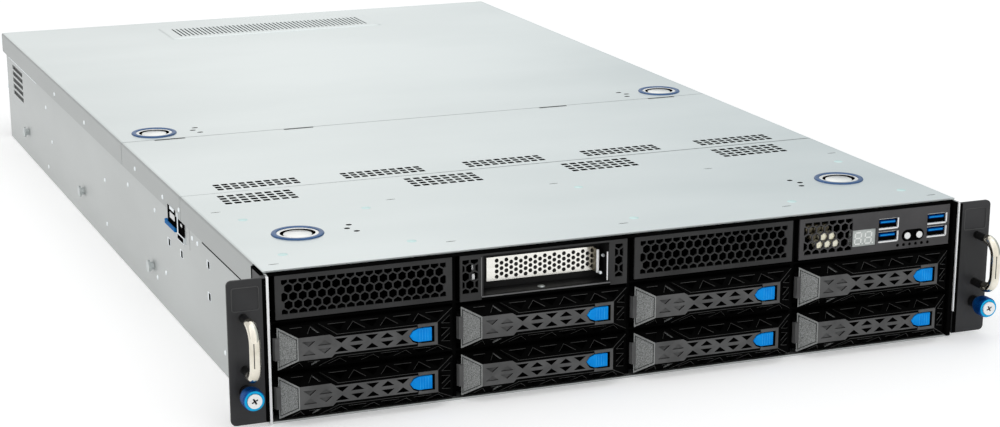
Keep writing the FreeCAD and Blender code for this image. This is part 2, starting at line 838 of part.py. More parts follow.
def hex_field(name, x, z, y):
    """Pointed-top hexagonal holes on a triangular grid, as many whole ones as a window takes."""
    pitch, flat = number(d.hex_pitch), number(d.hex_flat)
    radius = flat / math.sqrt(3)
    rise = pitch * math.sqrt(3) / 2
    half_x, half_z = number(x[1] - x[0]) / 2, number(z[1] - z[0]) / 2
    middle_x, middle_z = number(x[0]) + half_x, number(z[0]) + half_z
    rows = int((half_z - radius) / rise)
    holes = []
    for row in range(-rows, rows + 1):
        shift = 0.5 if row % 2 == 0 else 0.0
        steps = [step + shift for step in range(-50, 51)]
        for step in steps:
            if abs(step) * pitch + flat / 2 <= half_x:
                holes.append(hexagon(middle_x + step * pitch, number(y[0]), middle_z + row * rise, radius,
                                     number(y[1] - y[0])))
    return shaped(name, Part.makeCompound(holes))


def hexagon(x, y, z, radius, depth):
    corners = []
    for step in range(7):
        angle = math.radians(90 + 60 * step)
        corners.append(Vector(x + radius * math.cos(angle), y, z + radius * math.sin(angle)))
    return Part.Face(Part.makePolygon(corners)).extrude(Vector(0, depth, 0))


def module_panel(name, column):
    """A front module's sheet face with a return folded back round its edge."""
    x, z = column_x(column), row_z(DRIVE_ROWS)
    half, height, fold = panel_half, panel_half_height, d.panel_return
    face = front + d.panel_sheet
    outer = box(f"{name}_block", (x - half, x + half), (front, front + d.panel_depth),
                (z - height, z + height))
    inner = box(f"{name}_hollow", (x - half + fold, x + half - fold), (face, face + d.panel_depth),
                (z - height + fold, z + height - fold))
    return cut(f"{name}_shell", outer, inner)


def hex_window_z():
    centre = row_z(DRIVE_ROWS) + d.hex_lift
    return (centre - d.hex_height / 2, centre + d.hex_height / 2)


def panel_through():
    return (front - d.panel_sheet, front + 2 * d.panel_sheet)


def vent_grilles():
    """Two honeycomb filler panels that let air into the bays behind them."""
    panels = []
    for column in (0, 2):
        x = column_x(column)
        half = panel_half - d.hex_side_margin
        holes = hex_field(f"grille_holes_{column}", (x - half, x + half), hex_window_z(), panel_through())
        panels.append(cut(f"grille_{column}", module_panel(f"grille_{column}", column), holes))
    return group("vent_grilles", *panels)


def slot_panel():
    """The expansion-slot module: a recess with a sill and a honeycomb strip at each end."""
    x, z = column_x(1), row_z(DRIVE_ROWS)
    low, high = x - panel_half + d.slot_left, x + panel_half - d.slot_right
    sill, top = z - panel_half_height + d.slot_sill, z + panel_half_height - d.slot_top
    window = box("slot_window", (low, high), panel_through(), (sill, top))
    fold = d.panel_return
    deep = (front + d.panel_sheet / 2, front + d.panel_depth)
    walls = [box("slot_wall_left", (low - fold, low), deep, (z - panel_half_height, top)),
             box("slot_wall_right", (high, high + fold), deep, (z - panel_half_height, top)),
             box("slot_floor", (low - fold, high + fold), deep, (sill - fold, sill))]
    shell = fuse("slot_recess", cut("slot_open", module_panel("slot", 1), window), *walls)
    edge = d.hex_side_margin / 2
    left_low = x - panel_half + edge
    right_low = high + fold + edge
    strips = {"left": (left_low, left_low + d.slot_strip_left),
              "right": (right_low, right_low + d.slot_strip_right)}
    holes = [hex_field(f"slot_holes_{side}", strip, hex_window_z(), panel_through())
             for side, strip in strips.items()]
    return cut("slot_panel", shell, group("slot_holes", *holes))


def slot_bracket():
    """The bare steel card bracket at the back of the recess, folded forward at its right end."""
    x, z = column_x(1), row_z(DRIVE_ROWS)
    low = x - panel_half + d.slot_left + d.bracket_left_gap
    high = x + panel_half - d.slot_right - d.slip
    back = front + d.bracket_back
    half = d.bracket_height / 2
    sheet = d.bracket_sheet
    points = [(low, back), (high - sheet, back), (high - sheet, back - d.bracket_fold)]
    points += [(high, back - d.bracket_fold), (high, back + sheet), (low, back + sheet)]
    return extrude("slot_bracket", "XY", points, z - half, z + half)


def io_places():
    """Places of the control module's pieces, measured from its right edge and its centre line."""
    right = column_x(COLUMNS - 1) + panel_half
    z = row_z(DRIVE_ROWS)
    usb_x = [right - d.usb_right - d.usb_width / 2 - step * d.usb_spacing for step in (1, 0)]
    usb_z = [z - d.usb_low + step * d.usb_pitch for step in (0, 1)]
    display = (right - d.display_right, z - d.display_low)
    pushes = [(right - d.push_right - d.push_pitch, z - d.push_low), (right - d.push_right, z - d.push_low)]
    lights = [(right - d.light_right - step * d.light_pitch, z - d.light_low) for step in range(6)]
    return usb_x, usb_z, display, pushes, lights


def io_panel():
    """The control and port module: vent, display window, ports, two buttons and a row of lights."""
    usb_x, usb_z, display, pushes, _ = io_places()
    through = panel_through()
    gap = d.port_gap
    tools = []
    for column, x in enumerate(usb_x):
        for level, z in enumerate(usb_z):
            wide = (x - d.usb_width / 2 - gap, x + d.usb_width / 2 + gap)
            high = (z - d.usb_height / 2 - gap, z + d.usb_height / 2 + gap)
            tools.append(box(f"usb_opening_{column}_{level}", wide, through, high))
    pane_half, pane_height = d.display_width / 2 + gap, d.display_height / 2 + gap
    tools.append(box("display_opening", (display[0] - pane_half, display[0] + pane_half), through,
                     (display[1] - pane_height, display[1] + pane_height)))
    depth = 3 * d.panel_sheet
    for index, (x, z) in enumerate(pushes):
        tools.append(many_sided_bar(f"push_hole_{index}", (x, through[0], z), BUTTON_SIDES,
                                    d.push_radius + gap, depth, "y"))
    shell = cut("io_open", module_panel("io", COLUMNS - 1), *tools)
    left = column_x(COLUMNS - 1) - panel_half + d.hex_side_margin / 2
    right = display[0] - pane_half - d.panel_sheet
    holes = hex_field("io_holes", (left, right), hex_window_z(), through)
    return cut("io_panel", shell, holes)


def usb_ports():
    """Four port shells of folded steel, each with its plastic tongue inside."""
    usb_x, usb_z, *_ = io_places()
    wall = d.usb_wall
    start = front + d.slip
    end = start + d.usb_depth
    pieces = []
    for column, x in enumerate(usb_x):
        for level, z in enumerate(usb_z):
            label = f"usb_{column}_{level}"
            wide, high = d.usb_width / 2, d.usb_height / 2
            outer = box(f"{label}_outer", (x - wide, x + wide), (start, end), (z - high, z + high))
            inner = box(f"{label}_inner", (x - wide + wall, x + wide - wall), (start - wall, end - wall),
                        (z - high + wall, z + high - wall))
            pieces.append(cut(f"{label}_shell", outer, inner))
            tongue_top = z + high - 2 * wall
            pieces.append(box(f"{label}_tongue", (x - wide + 2 * wall, x + wide - 2 * wall),
                              (start + 2 * wall, end - wall), (tongue_top - d.usb_tongue, tongue_top)))
    return group("usb_ports", *pieces)


def status_lights():
    """The two-digit display, set in its window, and the lenses of the status row on the panel face."""
    *_, display, _, lights = io_places()
    half, height = d.display_width / 2, d.display_height / 2
    depth = (front + d.slip, front + d.slip + d.display_depth)
    pieces = [box("display_block", (display[0] - half, display[0] + half), depth,
                  (display[1] - height, display[1] + height))]
    for index, (x, z) in enumerate(lights):
        pieces.append(many_sided_bar(f"light_{index}", (x, front - d.slip, z), 10, d.light_radius,
                                     d.slip, "y"))
    return group("status_lights", *pieces)


def push_button(name, place):
    """A round push button with a collar behind the panel that keeps it in."""
    x, z = place
    start = front - d.push_travel - d.slip
    collar = front + d.panel_sheet + d.slip
    cap = many_sided_bar(f"{name}_cap", (x, start, z), BUTTON_SIDES, d.push_radius,
                         collar - start, "y")
    flange = many_sided_bar(f"{name}_flange", (x, collar, z), BUTTON_SIDES,
                            d.push_radius + 2 * d.port_gap, d.panel_sheet, "y")
    return fuse(name, cap, flange)


def bezel_block(name):
    """The tray bezel's outer form: a low pyramid with its top cut flat, about the bay's centre."""
    item = doc.addObject("Part::Wedge", name)
    half_face = d.face_height / 2
    limits = {
        "Xmin": face_left, "Xmax": face_right, "Ymin": -d.bezel_rise, "Ymax": 0.0,
        "Zmin": d.face_lift - half_face, "Zmax": d.face_lift + half_face,
        "X2min": -bezel_half, "X2max": bezel_half,
        "Z2min": -bezel_half_height, "Z2max": bezel_half_height,
    }
    for limit, size in limits.items():
        setattr(item, limit, number(size))
    for limit, size in limits.items():
        bind(item, limit, size)
    return item


def lever_zone(name, grow, depth):
    """The part of the bezel that the lever takes: full height at the left, then a narrow bar."""
    lift = d.face_lift
    half = bar_half + grow
    top = bezel_half_height + grow
    left = -bezel_half - grow
    base_x = -bezel_half + d.seam_base + grow
    face_x = -bezel_half + d.seam_face + grow
    points = [(left, -top), (base_x, -top), (face_x, lift - half), (lever_end + grow, lift - half)]
    points += [(lever_end + grow, lift + half), (face_x, lift + half), (base_x, top), (left, top)]
    return extrude(name, "XZ", points, depth[0], depth[1])


def catch_form(name, grow, depth):
    """The thumb catch's outline: a straight block with a pointed nose in two facets a side."""
    half = d.catch_height / 2 + grow
    lift = d.face_lift
    tip, end = catch_tip - grow, catch_end + grow
    cheek, shoulder = tip + d.catch_cheek, tip + d.catch_nose
    low, high = lift - half + d.catch_cheek_drop, lift + half - d.catch_cheek_drop
    points = [(tip, lift), (cheek, low), (shoulder, lift - half), (end, lift - half)]
    points += [(end, lift + half), (shoulder, lift + half), (cheek, high)]
    return extrude(name, "XZ", points, depth[0], depth[1])


def hinge_place():
    return (-bezel_half - d.hinge_left, d.hinge_back)


def tray_carrier():
    """A tray: bezel and hinge lugs, side rails and back bar in one casting, and the drive it holds."""
    half = bezel_half_height
    rise = d.bezel_rise
    block = bezel_block("carrier_bezel_block")
    hinge_x, hinge_y = hinge_place()
    left_zone = (-rise - d.lever_gap, 0.0)
    bar_zone = (-rise - d.lever_gap, -rise + d.lever_bar_depth + d.lever_gap)
    start_x = -bezel_half + d.seam_face
    left_cut = common("carrier_left_cut", lever_zone("carrier_left_zone", d.lever_gap, left_zone),
                      box("carrier_left_side", (-d.bay_pitch, start_x), left_zone,
                          (-d.row_pitch, d.row_pitch)))
    bar_cut = lever_zone("carrier_bar_zone", d.lever_gap, bar_zone)
    catch_cut = catch_form("carrier_catch_zone", 0.0, bar_zone)
    travel = box("carrier_catch_travel", (catch_end - d.catch_length / 2, catch_end + d.catch_gap), bar_zone,
                 (d.face_lift - d.catch_height / 2 - d.slip, d.face_lift + d.catch_height / 2 + d.slip))
    bezel = cut("carrier_bezel", block, left_cut, bar_cut, catch_cut, travel)
    plate_left = hinge_x + d.barrel_radius + d.lever_gap
    plate = box("carrier_plate", (plate_left, bezel_half), (0.0, d.bezel_plate), (-half, half))
    lugs = []
    barrel_half = d.barrel_height / 2
    for name, side in (("low", -1), ("high", 1)):
        near, far = barrel_half + d.slip, barrel_half + d.slip + d.hinge_lug
        heights = (near, far) if side > 0 else (-far, -near)
        lugs.append(box(f"carrier_lug_{name}", (hinge_x - d.barrel_radius, plate_left + d.hinge_lug),
                        (0.0, d.bezel_plate), heights))
    pin = many_sided_bar("carrier_pin", (hinge_x, hinge_y, -barrel_half - d.slip - d.hinge_lug / 2),
                         PIN_SIDES, d.pin_radius, d.barrel_height + 2 * d.slip + d.hinge_lug, "z")
    cross = (d.rail_start - d.rail_sheet, d.rail_start)
    rail_z = (-d.rail_half_height, d.rail_half_height)
    pieces = [bezel, plate, *lugs, pin, box("carrier_cross", (-rail_out, rail_out), cross, rail_z)]
    for name, side in SIDES.items():
        spacer_x = span(side, bezel_half - 2 * d.spacer, bezel_half - d.spacer)
        pieces.append(box(f"carrier_spacer_{name}", spacer_x, (d.bezel_plate, cross[0]), rail_z))
        pieces.append(box(f"carrier_rail_{name}", span(side, rail_out - d.rail_sheet, rail_out),
                          (d.rail_start, d.tray_length), rail_z))
    pieces.append(box("carrier_back_bar", (-rail_out, rail_out),
                      (d.tray_length - d.rail_sheet, d.tray_length), rail_z))
    carrier = fuse("tray_casting", *pieces)
    drive_half = rail_out - d.rail_sheet - d.slip
    drive_height = d.row_pitch / 2 - d.shelf / 2 - d.tray_slip
    drive_end = d.tray_length - d.rail_sheet - d.drive_back_gap
    drive = box("tray_drive", (-drive_half, drive_half), (d.drive_front, drive_end),
                (-drive_height, drive_height))
    return group("tray_pattern", carrier, drive)


def triangle_holes(name, depth):
    """Two rows of triangular holes in the lever's bar, pointing up and down by turns."""
    run_low = -bezel_half + d.seam_face
    run = catch_tip - d.lever_gap - run_low
    pitch = (run + d.lattice_web) / LATTICE_COLUMNS
    wide = pitch - d.lattice_web
    inner, outer = d.lattice_rim, bar_half - d.lattice_rim
    holes = []
    for column in range(LATTICE_COLUMNS):
        low = run_low + column * pitch
        high, middle = low + wide, low + wide / 2
        for row, side in (("low", -1), ("high", 1)):
            base, tip = (outer, inner) if column % 2 == 0 else (inner, outer)
            base, tip = d.face_lift + side * base, d.face_lift + side * tip
            points = [(low, base), (high, base), (middle, tip)]
            holes.append(extrude(f"{name}_{row}_{column}", "XZ", points, depth[0], depth[1]))
    return group(name, *holes)


def tray_lever():
    """The tray's release lever: bezel end, pierced bar and hinge barrel in one moulding."""
    rise, gap = d.bezel_rise, d.lever_gap
    block = bezel_block("lever_block")
    zone = lever_zone("lever_zone", 0.0, (-rise, -gap))
    form = common("lever_form", block, zone)
    start_x = -bezel_half + d.seam_face
    behind = box("lever_behind_bar", (start_x, bezel_half), (-rise + d.lever_bar_depth, 0.0),
                 (-d.row_pitch, d.row_pitch))
    notch = catch_form("lever_notch", gap, (-rise - gap, 0.0))
    bar = cut("lever_bar", form, behind, notch)
    hinge_x, hinge_y = hinge_place()
    half = d.barrel_height / 2
    barrel = many_sided_bar("lever_barrel", (hinge_x, hinge_y, -half), PIN_SIDES, d.barrel_radius,
                            d.barrel_height, "z")
    web_x = (hinge_x - d.pin_radius, hinge_x + d.barrel_radius)
    web = box("lever_web", web_x, (-3 * gap, hinge_y), (-half, half))
    root = box("lever_root", (hinge_x, -bezel_half + 4 * gap), (-3 * gap, -gap), (-half, half))
    bore = many_sided_bar("lever_bore", (hinge_x, hinge_y, -half - gap), PIN_SIDES,
                          d.pin_radius + d.pin_play, d.barrel_height + 2 * gap, "z")
    solid = cut("lever_hinged", fuse("lever_whole", bar, barrel, web, root), bore)
    return cut("lever_pattern", solid, triangle_holes("lever_lattice", (-rise - gap, 0.0)))


def tray_latch():
    """The thumb catch that holds the lever shut and slides right to free it."""
    return catch_form("latch_pattern", 0.0, (-d.bezel_rise, -d.bezel_rise + d.catch_depth))


def fan_frames():
    """Five square fan housings, each with a faceted duct and a strut behind that carries the motor."""
    frames = []
    end = fan_start + d.fan_depth
    for index, step in enumerate(centred(FANS)):
        x = fan_pitch * step
        half, height = fan_width / 2, fan_height / 2
        label = f"fan_{index}"
        shell = box(f"{label}_block", (x - half, x + half), (fan_start, end),
                    (fan_z - height, fan_z + height))
        duct = many_sided_bar(f"{label}_duct", (x, fan_start - d.slip, fan_z), DUCT_SIDES, fan_bore,
                              d.fan_depth + 2 * d.slip, "y")
        strut = box(f"{label}_strut", (x - half, x + half), (end - d.fan_strut, end),
                    (fan_z - d.fan_strut, fan_z + d.fan_strut))
        frames.append(fuse(f"{label}_frame", cut(f"{label}_shell", shell, duct), strut))
    return group("fan_frames", *frames)


def fan_rotor():
    """A fan rotor about its own centre: hub with pitched blades, running just ahead of the strut."""
    start = -d.fan_hub_length / 2
    hub = many_sided_bar("rotor_hub", (0.0, start, 0.0), 8, d.fan_hub, d.fan_hub_length, "y")
    reach = fan_bore * math.cos(math.pi / DUCT_SIDES) - d.fan_tip_gap
    blades = []
    for index in range(FAN_BLADES):
        root = number(d.fan_hub) / 2
        blade = Part.makeBox(number(reach) - root, number(d.blade_sheet), number(d.blade_chord),
                             Vector(root, -number(d.blade_sheet) / 2, -number(d.blade_chord) / 2))
        blade.rotate(Vector(), Vector(1, 0, 0), BLADE_PITCH)
        blade.rotate(Vector(), Vector(0, 1, 0), 360 * index / FAN_BLADES)
        blades.append(shaped(f"rotor_blade_{index}", blade))
    return fuse("rotor_pattern", hub, *blades)


def main_board():
    """The main board on its standoffs, with rows of memory modules standing beside the processors."""
    low_x, high_x = supply_right + d.board_side, half_inner - d.board_side
    low_y, high_y = mid_end - d.board_ahead, rear - d.board_rear
    under = d.floor_sheet + d.board_lift
    pieces = [box("board_sheet", (low_x, high_x), (low_y, high_y), (under, board_top))]
    for index_x, x in enumerate((low_x + d.standoff, (low_x + high_x) / 2, high_x - d.standoff)):
        for index_y, y in enumerate((low_y + d.standoff, high_y - d.standoff)):
            half = d.standoff / 2
            name = f"standoff_{index_x}_{index_y}"
            pieces.append(box(name, (x - half, x + half), (y - half, y + half), (d.floor_sheet, under)))
    start = low_y + d.sink_back - (d.memory_length - d.sink_length) / 2
    for bank, centre in enumerate((low_x + (high_x - low_x) / 2, high_x - 3 * d.memory_pitch)):
        for index, step in enumerate(centred(4)):
            x = centre + d.memory_pitch * step
            limits = (x - d.memory_sheet / 2, x + d.memory_sheet / 2)
            pieces.append(box(f"memory_{bank}_{index}", limits, (start, start + d.memory_length),
                              (board_top, board_top + d.memory_height)))
    return group("motherboard", *pieces)


def cpu_heatsinks():
    """Two finned heat sinks clamped over the processors."""
    low_x, high_x = supply_right + d.board_side, half_inner - d.board_side
    quarter = (high_x - low_x) / 4
    start = mid_end - d.board_ahead + d.sink_back
    length = (start, start + d.sink_length)
    sinks = []
    for index, x in enumerate((low_x + quarter, high_x - quarter - d.memory_pitch)):
        half = d.sink_width / 2
        base_top = board_top + d.sink_base
        block = box(f"sink_{index}_block", (x - half, x + half), length,
                    (board_top, board_top + d.sink_height))
        grooves = []
        count = int(number(d.sink_width - d.sink_fin) / number(d.sink_fin_pitch))
        for groove, step in enumerate(centred(count)):
            centre = x + d.sink_fin_pitch * step
            wide = (d.sink_fin_pitch - d.sink_fin) / 2
            grooves.append(box(f"sink_{index}_groove_{groove}", (centre - wide, centre + wide),
                               (length[0] - d.slip, length[1] + d.slip),
                               (base_top, board_top + d.sink_height + d.slip)))
        sinks.append(cut(f"sink_{index}", block, group(f"sink_{index}_grooves", *grooves)))
    return group("cpu_heatsinks", *sinks)


def power_supply(name, level):
    """A hot-swap power supply: closed steel box with a mains inlet and a pull handle at the back."""
    base = d.floor_sheet + d.supply_gap + level * (supply_height + d.supply_gap)
    high = base + supply_height
    end = rear + d.wall_sheet
    block = box(f"{name}_box", (supply_left, supply_right), (end - d.supply_length, end), (base, high))
    middle = (base + high) / 2
    inlet_right = supply_right - d.inlet_edge
    inlet = box(f"{name}_inlet", (inlet_right - d.inlet_width, inlet_right),
                (end - d.inlet_depth, end + d.slip),
                (middle - d.inlet_height / 2, middle + d.inlet_height / 2))
    low_x = supply_left + d.inlet_edge
    high_x = low_x + d.supply_handle_length
    bar = d.supply_handle_bar
    reach = end + d.supply_handle_reach
    points = [(low_x, end), (low_x + bar, end), (low_x + bar, reach - bar), (high_x - bar, reach - bar)]
    points += [(high_x - bar, end), (high_x, end), (high_x, reach), (low_x, reach)]
    handle = extrude(f"{name}_handle", "XY", points, middle - 2 * bar, middle + 2 * bar)
    return fuse(name, cut(f"{name}_case", block, inlet), handle)


def build():
    """Make every piece of the server and return them by name."""
    pieces = [chassis_base(), drive_cage(), drive_backplane(), rack_handles(), rail_studs()]
    for name, side in SIDES.items():
        pieces.append(rack_ear(f"{name}_ear", side))
        pieces.append(thumbscrew(f"{name}_thumbscrew", side))
    pieces += [front_cover(), mid_cover(), rear_cover()]
    for lid_name, places in (("rear", rear_latch_places()), ("front", front_latch_places())):
        pieces.append(latch_rings(f"{lid_name}_latch_rings", places))
        for side, place in places.items():
            pieces.append(latch_button(f"{lid_name}_{side}_latch", place))
    pieces += [vent_grilles(), slot_panel(), slot_bracket(), io_panel(), usb_ports(), status_lights()]
    pushes = io_places()[3]
    pieces += [push_button("power_button", pushes[0]), push_button("locate_button", pushes[1])]
    pieces += [fan_frames(), main_board(), cpu_heatsinks()]
    pieces += [power_supply("lower_power_supply", 0), power_supply("upper_power_supply", 1)]
    patterns = {"drive_tray": tray_carrier(), "tray_lever": tray_lever(), "tray_latch": tray_latch()}
    rotor = fan_rotor()
    doc.recompute()
    for row in range(DRIVE_ROWS):
        for column in range(COLUMNS):
            bay = row * COLUMNS + column + 1
            for name, pattern in patterns.items():
                pieces.append(copy_at(f"{name}_{bay}", pattern, column_x(column), front, row_z(row)))
    for index, step in enumerate(centred(FANS)):
        middle_y = fan_start + d.fan_depth - d.fan_strut - d.slip - d.fan_hub_length / 2
        pieces.append(copy_at(f"fan_rotor_{index + 1}", rotor, fan_pitch * step, middle_y, fan_z))
    doc.recompute()
    return {piece.Label: piece for piece in pieces}


def check(pieces):
    """Stop before anything is written if a feature failed or a piece is not sound."""
    for item in doc.Objects:
        if "Invalid" in item.State or "Error" in item.State:
            raise RuntimeError(f"{item.Label} failed: {item.State}")
    for name, piece in pieces.items():
        if piece.Shape.isNull() or not piece.Shape.isValid() or not piece.Shape.Solids:
            raise RuntimeError(f"{name} is not a valid solid")


def export(pieces):
    os.makedirs("parts", exist_ok=True)
    for name, piece in pieces.items():
        piece.Shape.exportStep(f"parts/{name}.step")


server = build()
check(server)
export(server)
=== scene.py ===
import math
from contextlib import contextmanager

import bmesh
import bpy
from mathutils import Matrix, Vector


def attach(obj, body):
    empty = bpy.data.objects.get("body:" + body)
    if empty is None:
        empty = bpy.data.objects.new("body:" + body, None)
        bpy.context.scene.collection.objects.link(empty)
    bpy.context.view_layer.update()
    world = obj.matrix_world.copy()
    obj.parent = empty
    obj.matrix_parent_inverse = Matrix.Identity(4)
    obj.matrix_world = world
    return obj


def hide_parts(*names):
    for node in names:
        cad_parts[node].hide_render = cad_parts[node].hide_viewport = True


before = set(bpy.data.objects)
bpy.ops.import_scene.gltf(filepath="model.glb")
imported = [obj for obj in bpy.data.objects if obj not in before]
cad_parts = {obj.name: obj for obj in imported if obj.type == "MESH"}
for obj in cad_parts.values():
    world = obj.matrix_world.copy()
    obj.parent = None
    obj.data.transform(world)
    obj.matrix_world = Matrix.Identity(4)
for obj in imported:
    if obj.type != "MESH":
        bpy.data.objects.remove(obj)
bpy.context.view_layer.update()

# Studio. A long lens looks at the server from its front left and a little above it. The server stands on a
# white sweep that keeps its shadow, under two broad soft lights. Its metal mirrors a room with a softbox at
# one side and a darker front.
AIM, DISTANCE = Vector((0.068694, 0.005, -0.104644)), 1.758586
TURN, RISE, ROLL = (math.radians(angle) for angle in (-21.416, 17.724, -0.140))
AMBIENT, MIRRORED_FRONT, MIRRORED_BACK, SWEEP_GLOW = 0.55, 0.7, 0.95, 0.3
SOFTBOX = ((0.0, (0.75, 0.75, 0.75)), (0.56, (0.9, 0.9, 0.9)), (0.64, (1.15, 1.15, 1.15)),
           (0.74, (0.61, 0.655, 0.68)), (1.0, (0.5, 0.56, 0.585)))
SWEEP_HALF, SWEEP_DROP = 20.0, 0.0002


def toward(azimuth, elevation):
    """The direction of a place as seen from the server, from angles in radians."""
    return Vector((math.sin(azimuth) * math.cos(elevation), -math.cos(azimuth) * math.cos(elevation),
                   math.sin(elevation)))


def placed(name, data):
    """A new object in the scene."""
    item = bpy.data.objects.new(name, data)
    bpy.context.scene.collection.objects.link(item)
    return item


def mesh_from(points, edges=(), faces=()):
    """A new mesh from its corners and what joins them."""
    mesh = bpy.data.meshes.new("form")
    mesh.from_pydata(points, edges, faces)
    return mesh


def lamp(name, azimuth, elevation, power, spread):
    """A broad sun, given by where it stands as seen from the server, in degrees."""
    light = bpy.data.lights.new(name, "SUN")
    light.energy, light.angle = power, math.radians(spread)
    stand = toward(math.radians(azimuth), math.radians(elevation))
    placed(name, light).rotation_euler = stand.to_track_quat("Z", "Y").to_euler()


def add(tree, family, *kinds):
    """New nodes of one family in a tree."""
    return [tree.nodes.new(family + kind) for kind in kinds]


def wire(tree, *links):
    """Links nodes, each link given as a node and its output, then a node and its input."""
    for source, gives, target, takes in links:
        tree.links.new(source.outputs[gives], target.inputs[takes])


def set_range(node, *ends):
    """The ends of a Map Range node, first those it reads and then those it gives."""
    for socket, value in zip(("From Min", "From Max", "To Min", "To Max"), ends):
        node.inputs[socket].default_value = value


def seen_or_mirrored(tree, plain, shown):
    """A strength that is one value where light falls on things and another where it is seen or mirrored."""
    ray, seen, mirrored, glow = add(tree, "ShaderNode", "LightPath", "Math", "Math", "MapRange")
    seen.operation = mirrored.operation = "ADD"
    mirrored.use_clamp = True
    set_range(glow, 0.0, 1.0, plain, shown)
    wire(tree, (ray, "Is Camera Ray", seen, 0), (ray, "Is Glossy Ray", seen, 1), (seen, 0, mirrored, 0),
         (ray, "Is Transmission Ray", mirrored, 1), (mirrored, 0, glow, "Value"))
    return glow


away = toward(TURN, RISE)
level = (-away).cross(Vector((0, 0, 1))).normalized()
upright = level.cross(-away)
across = math.cos(ROLL) * level + math.sin(ROLL) * upright
upward = math.cos(ROLL) * upright - math.sin(ROLL) * level
camera = placed("camera", bpy.data.cameras.new("camera"))
camera.data.sensor_width, camera.data.lens, camera.data.clip_end = 36.0, 82.58, 60.0
camera.data.shift_x, camera.data.shift_y = 0.0109, 0.1281
camera.matrix_world = (Matrix.Translation(AIM + DISTANCE * away)
                       @ Matrix((across, upward, away)).transposed().to_4x4())
bpy.context.scene.camera = camera
bpy.context.scene.view_settings.view_transform = "Standard"
lamp("key_light", -22.0, 34.0, 1.5, 140.0)
lamp("back_light", 150.0, 55.0, 0.25, 60.0)

sky = bpy.data.worlds.new("studio")
sky.use_nodes = True
bpy.context.scene.world = sky
room, backdrop = sky.node_tree, sky.node_tree.nodes["Background"]
glow = seen_or_mirrored(room, AMBIENT, MIRRORED_BACK)
direction, parts, spread, depth, softbox = add(room, "ShaderNode", "TexCoord", "SeparateXYZ", "MapRange",
                                               "MapRange", "ValToRGB")
set_range(spread, -1.0, 1.0, 0.0, 1.0)
set_range(depth, -0.5, 0.1, MIRRORED_FRONT, MIRRORED_BACK)
while len(softbox.color_ramp.elements) < len(SOFTBOX):
    softbox.color_ramp.elements.new(0.5)
for stop, (position, colour) in zip(softbox.color_ramp.elements, SOFTBOX):
    stop.position, stop.color = position, (*colour, 1.0)
wire(room, (direction, "Generated", parts, 0), (parts, "X", spread, "Value"), (parts, "Y", depth, "Value"),
     (depth, "Result", glow, "To Max"), (spread, "Result", softbox, "Fac"),
     (softbox, "Color", backdrop, "Color"), (glow, "Result", backdrop, "Strength"))

corners = [(x * SWEEP_HALF, y * SWEEP_HALF, -SWEEP_DROP) for x, y in ((-1, -1), (1, -1), (1, 1), (-1, 1))]
sweep = placed("sweep", mesh_from(corners, [], [(0, 1, 2, 3)]))
paper = bpy.data.materials.new("sweep_paper")
paper.use_nodes = True
sheen = paper.node_tree.nodes["Principled BSDF"]
for socket, value in (("Base Color", (0.93, 0.93, 0.93, 1.0)), ("Emission Color", (1.0, 1.0, 1.0, 1.0)),
                      ("Roughness", 0.9), ("Specular IOR Level", 0.0)):
    sheen.inputs[socket].default_value = value
glow = seen_or_mirrored(paper.node_tree, 0.0, SWEEP_GLOW)
wire(paper.node_tree, (glow, "Result", sheen, "Emission Strength"))
sweep.data.materials.append(paper)

# Case pan. Zinc-coated steel, folded up at both sides and riveted to a pierced rear wall.
# The coating has a soft satin drift.
MM, ROLLED = 0.001, (0.05, 1400.0)


def srgb(colour):
    """A colour or a grey as it looks on screen, from 0 to 255, as the linear value that a shader takes."""
    parts = colour if isinstance(colour, tuple) else (colour,) * 3
    return [((part / 255 + 0.055) / 1.055) ** 2.4 if part > 10 else part / 3294.6 for part in parts] + [1.0]


def finish(name, dark, light, gloss, drift, metallic=0.0, specular=0.5, stretch=(1.0, 1.0, 1.0), grain=None):
    """A finish whose colour and gloss drift between two values, with a fine raised grain."""
    material = bpy.data.materials.new(name)
    material.use_nodes = True
    tree = material.node_tree
    shader = tree.nodes["Principled BSDF"]
    shader.inputs["Metallic"].default_value = metallic
    shader.inputs["Specular IOR Level"].default_value = specular
    place, lay, cloud, tint, polish = add(tree, "ShaderNode", "TexCoord", "Mapping", "TexNoise", "ValToRGB",
                                          "MapRange")
    lay.inputs["Scale"].default_value = stretch
    cloud.inputs["Scale"].default_value, cloud.inputs["Detail"].default_value = drift, 5.0
    for stop, position, colour in zip(tint.color_ramp.elements, (0.36, 0.64), (dark, light)):
        stop.position, stop.color = position, srgb(colour)
    set_range(polish, 0.3, 0.7, *gloss)
    wire(tree, (place, "Object", lay, "Vector"), (lay, "Vector", cloud, "Vector"),
         (cloud, "Fac", tint, "Fac"), (cloud, "Fac", polish, "Value"),
         (tint, "Color", shader, "Base Color"), (polish, "Result", shader, "Roughness"))
    if grain:
        fine, raised = add(tree, "ShaderNode", "TexNoise", "Bump")
        raised.inputs["Strength"].default_value, fine.inputs["Scale"].default_value = grain
        raised.inputs["Distance"].default_value = 0.0003
        wire(tree, (lay, "Vector", fine, "Vector"), (fine, "Fac", raised, "Height"),
             (raised, "Normal", shader, "Normal"))
    return material


def dress(material, *names):
    """Gives CAD nodes that keep their shape a finish."""
    for name in names:
        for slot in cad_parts[name].material_slots:
            slot.material = material


wall_zinc = finish("wall_zinc", (182, 185, 184), (196, 199, 198), (0.42, 0.5), 9.0, 0.85,
                   stretch=(1.0, 0.35, 1.0), grain=ROLLED)
dress(wall_zinc, "chassis_base")

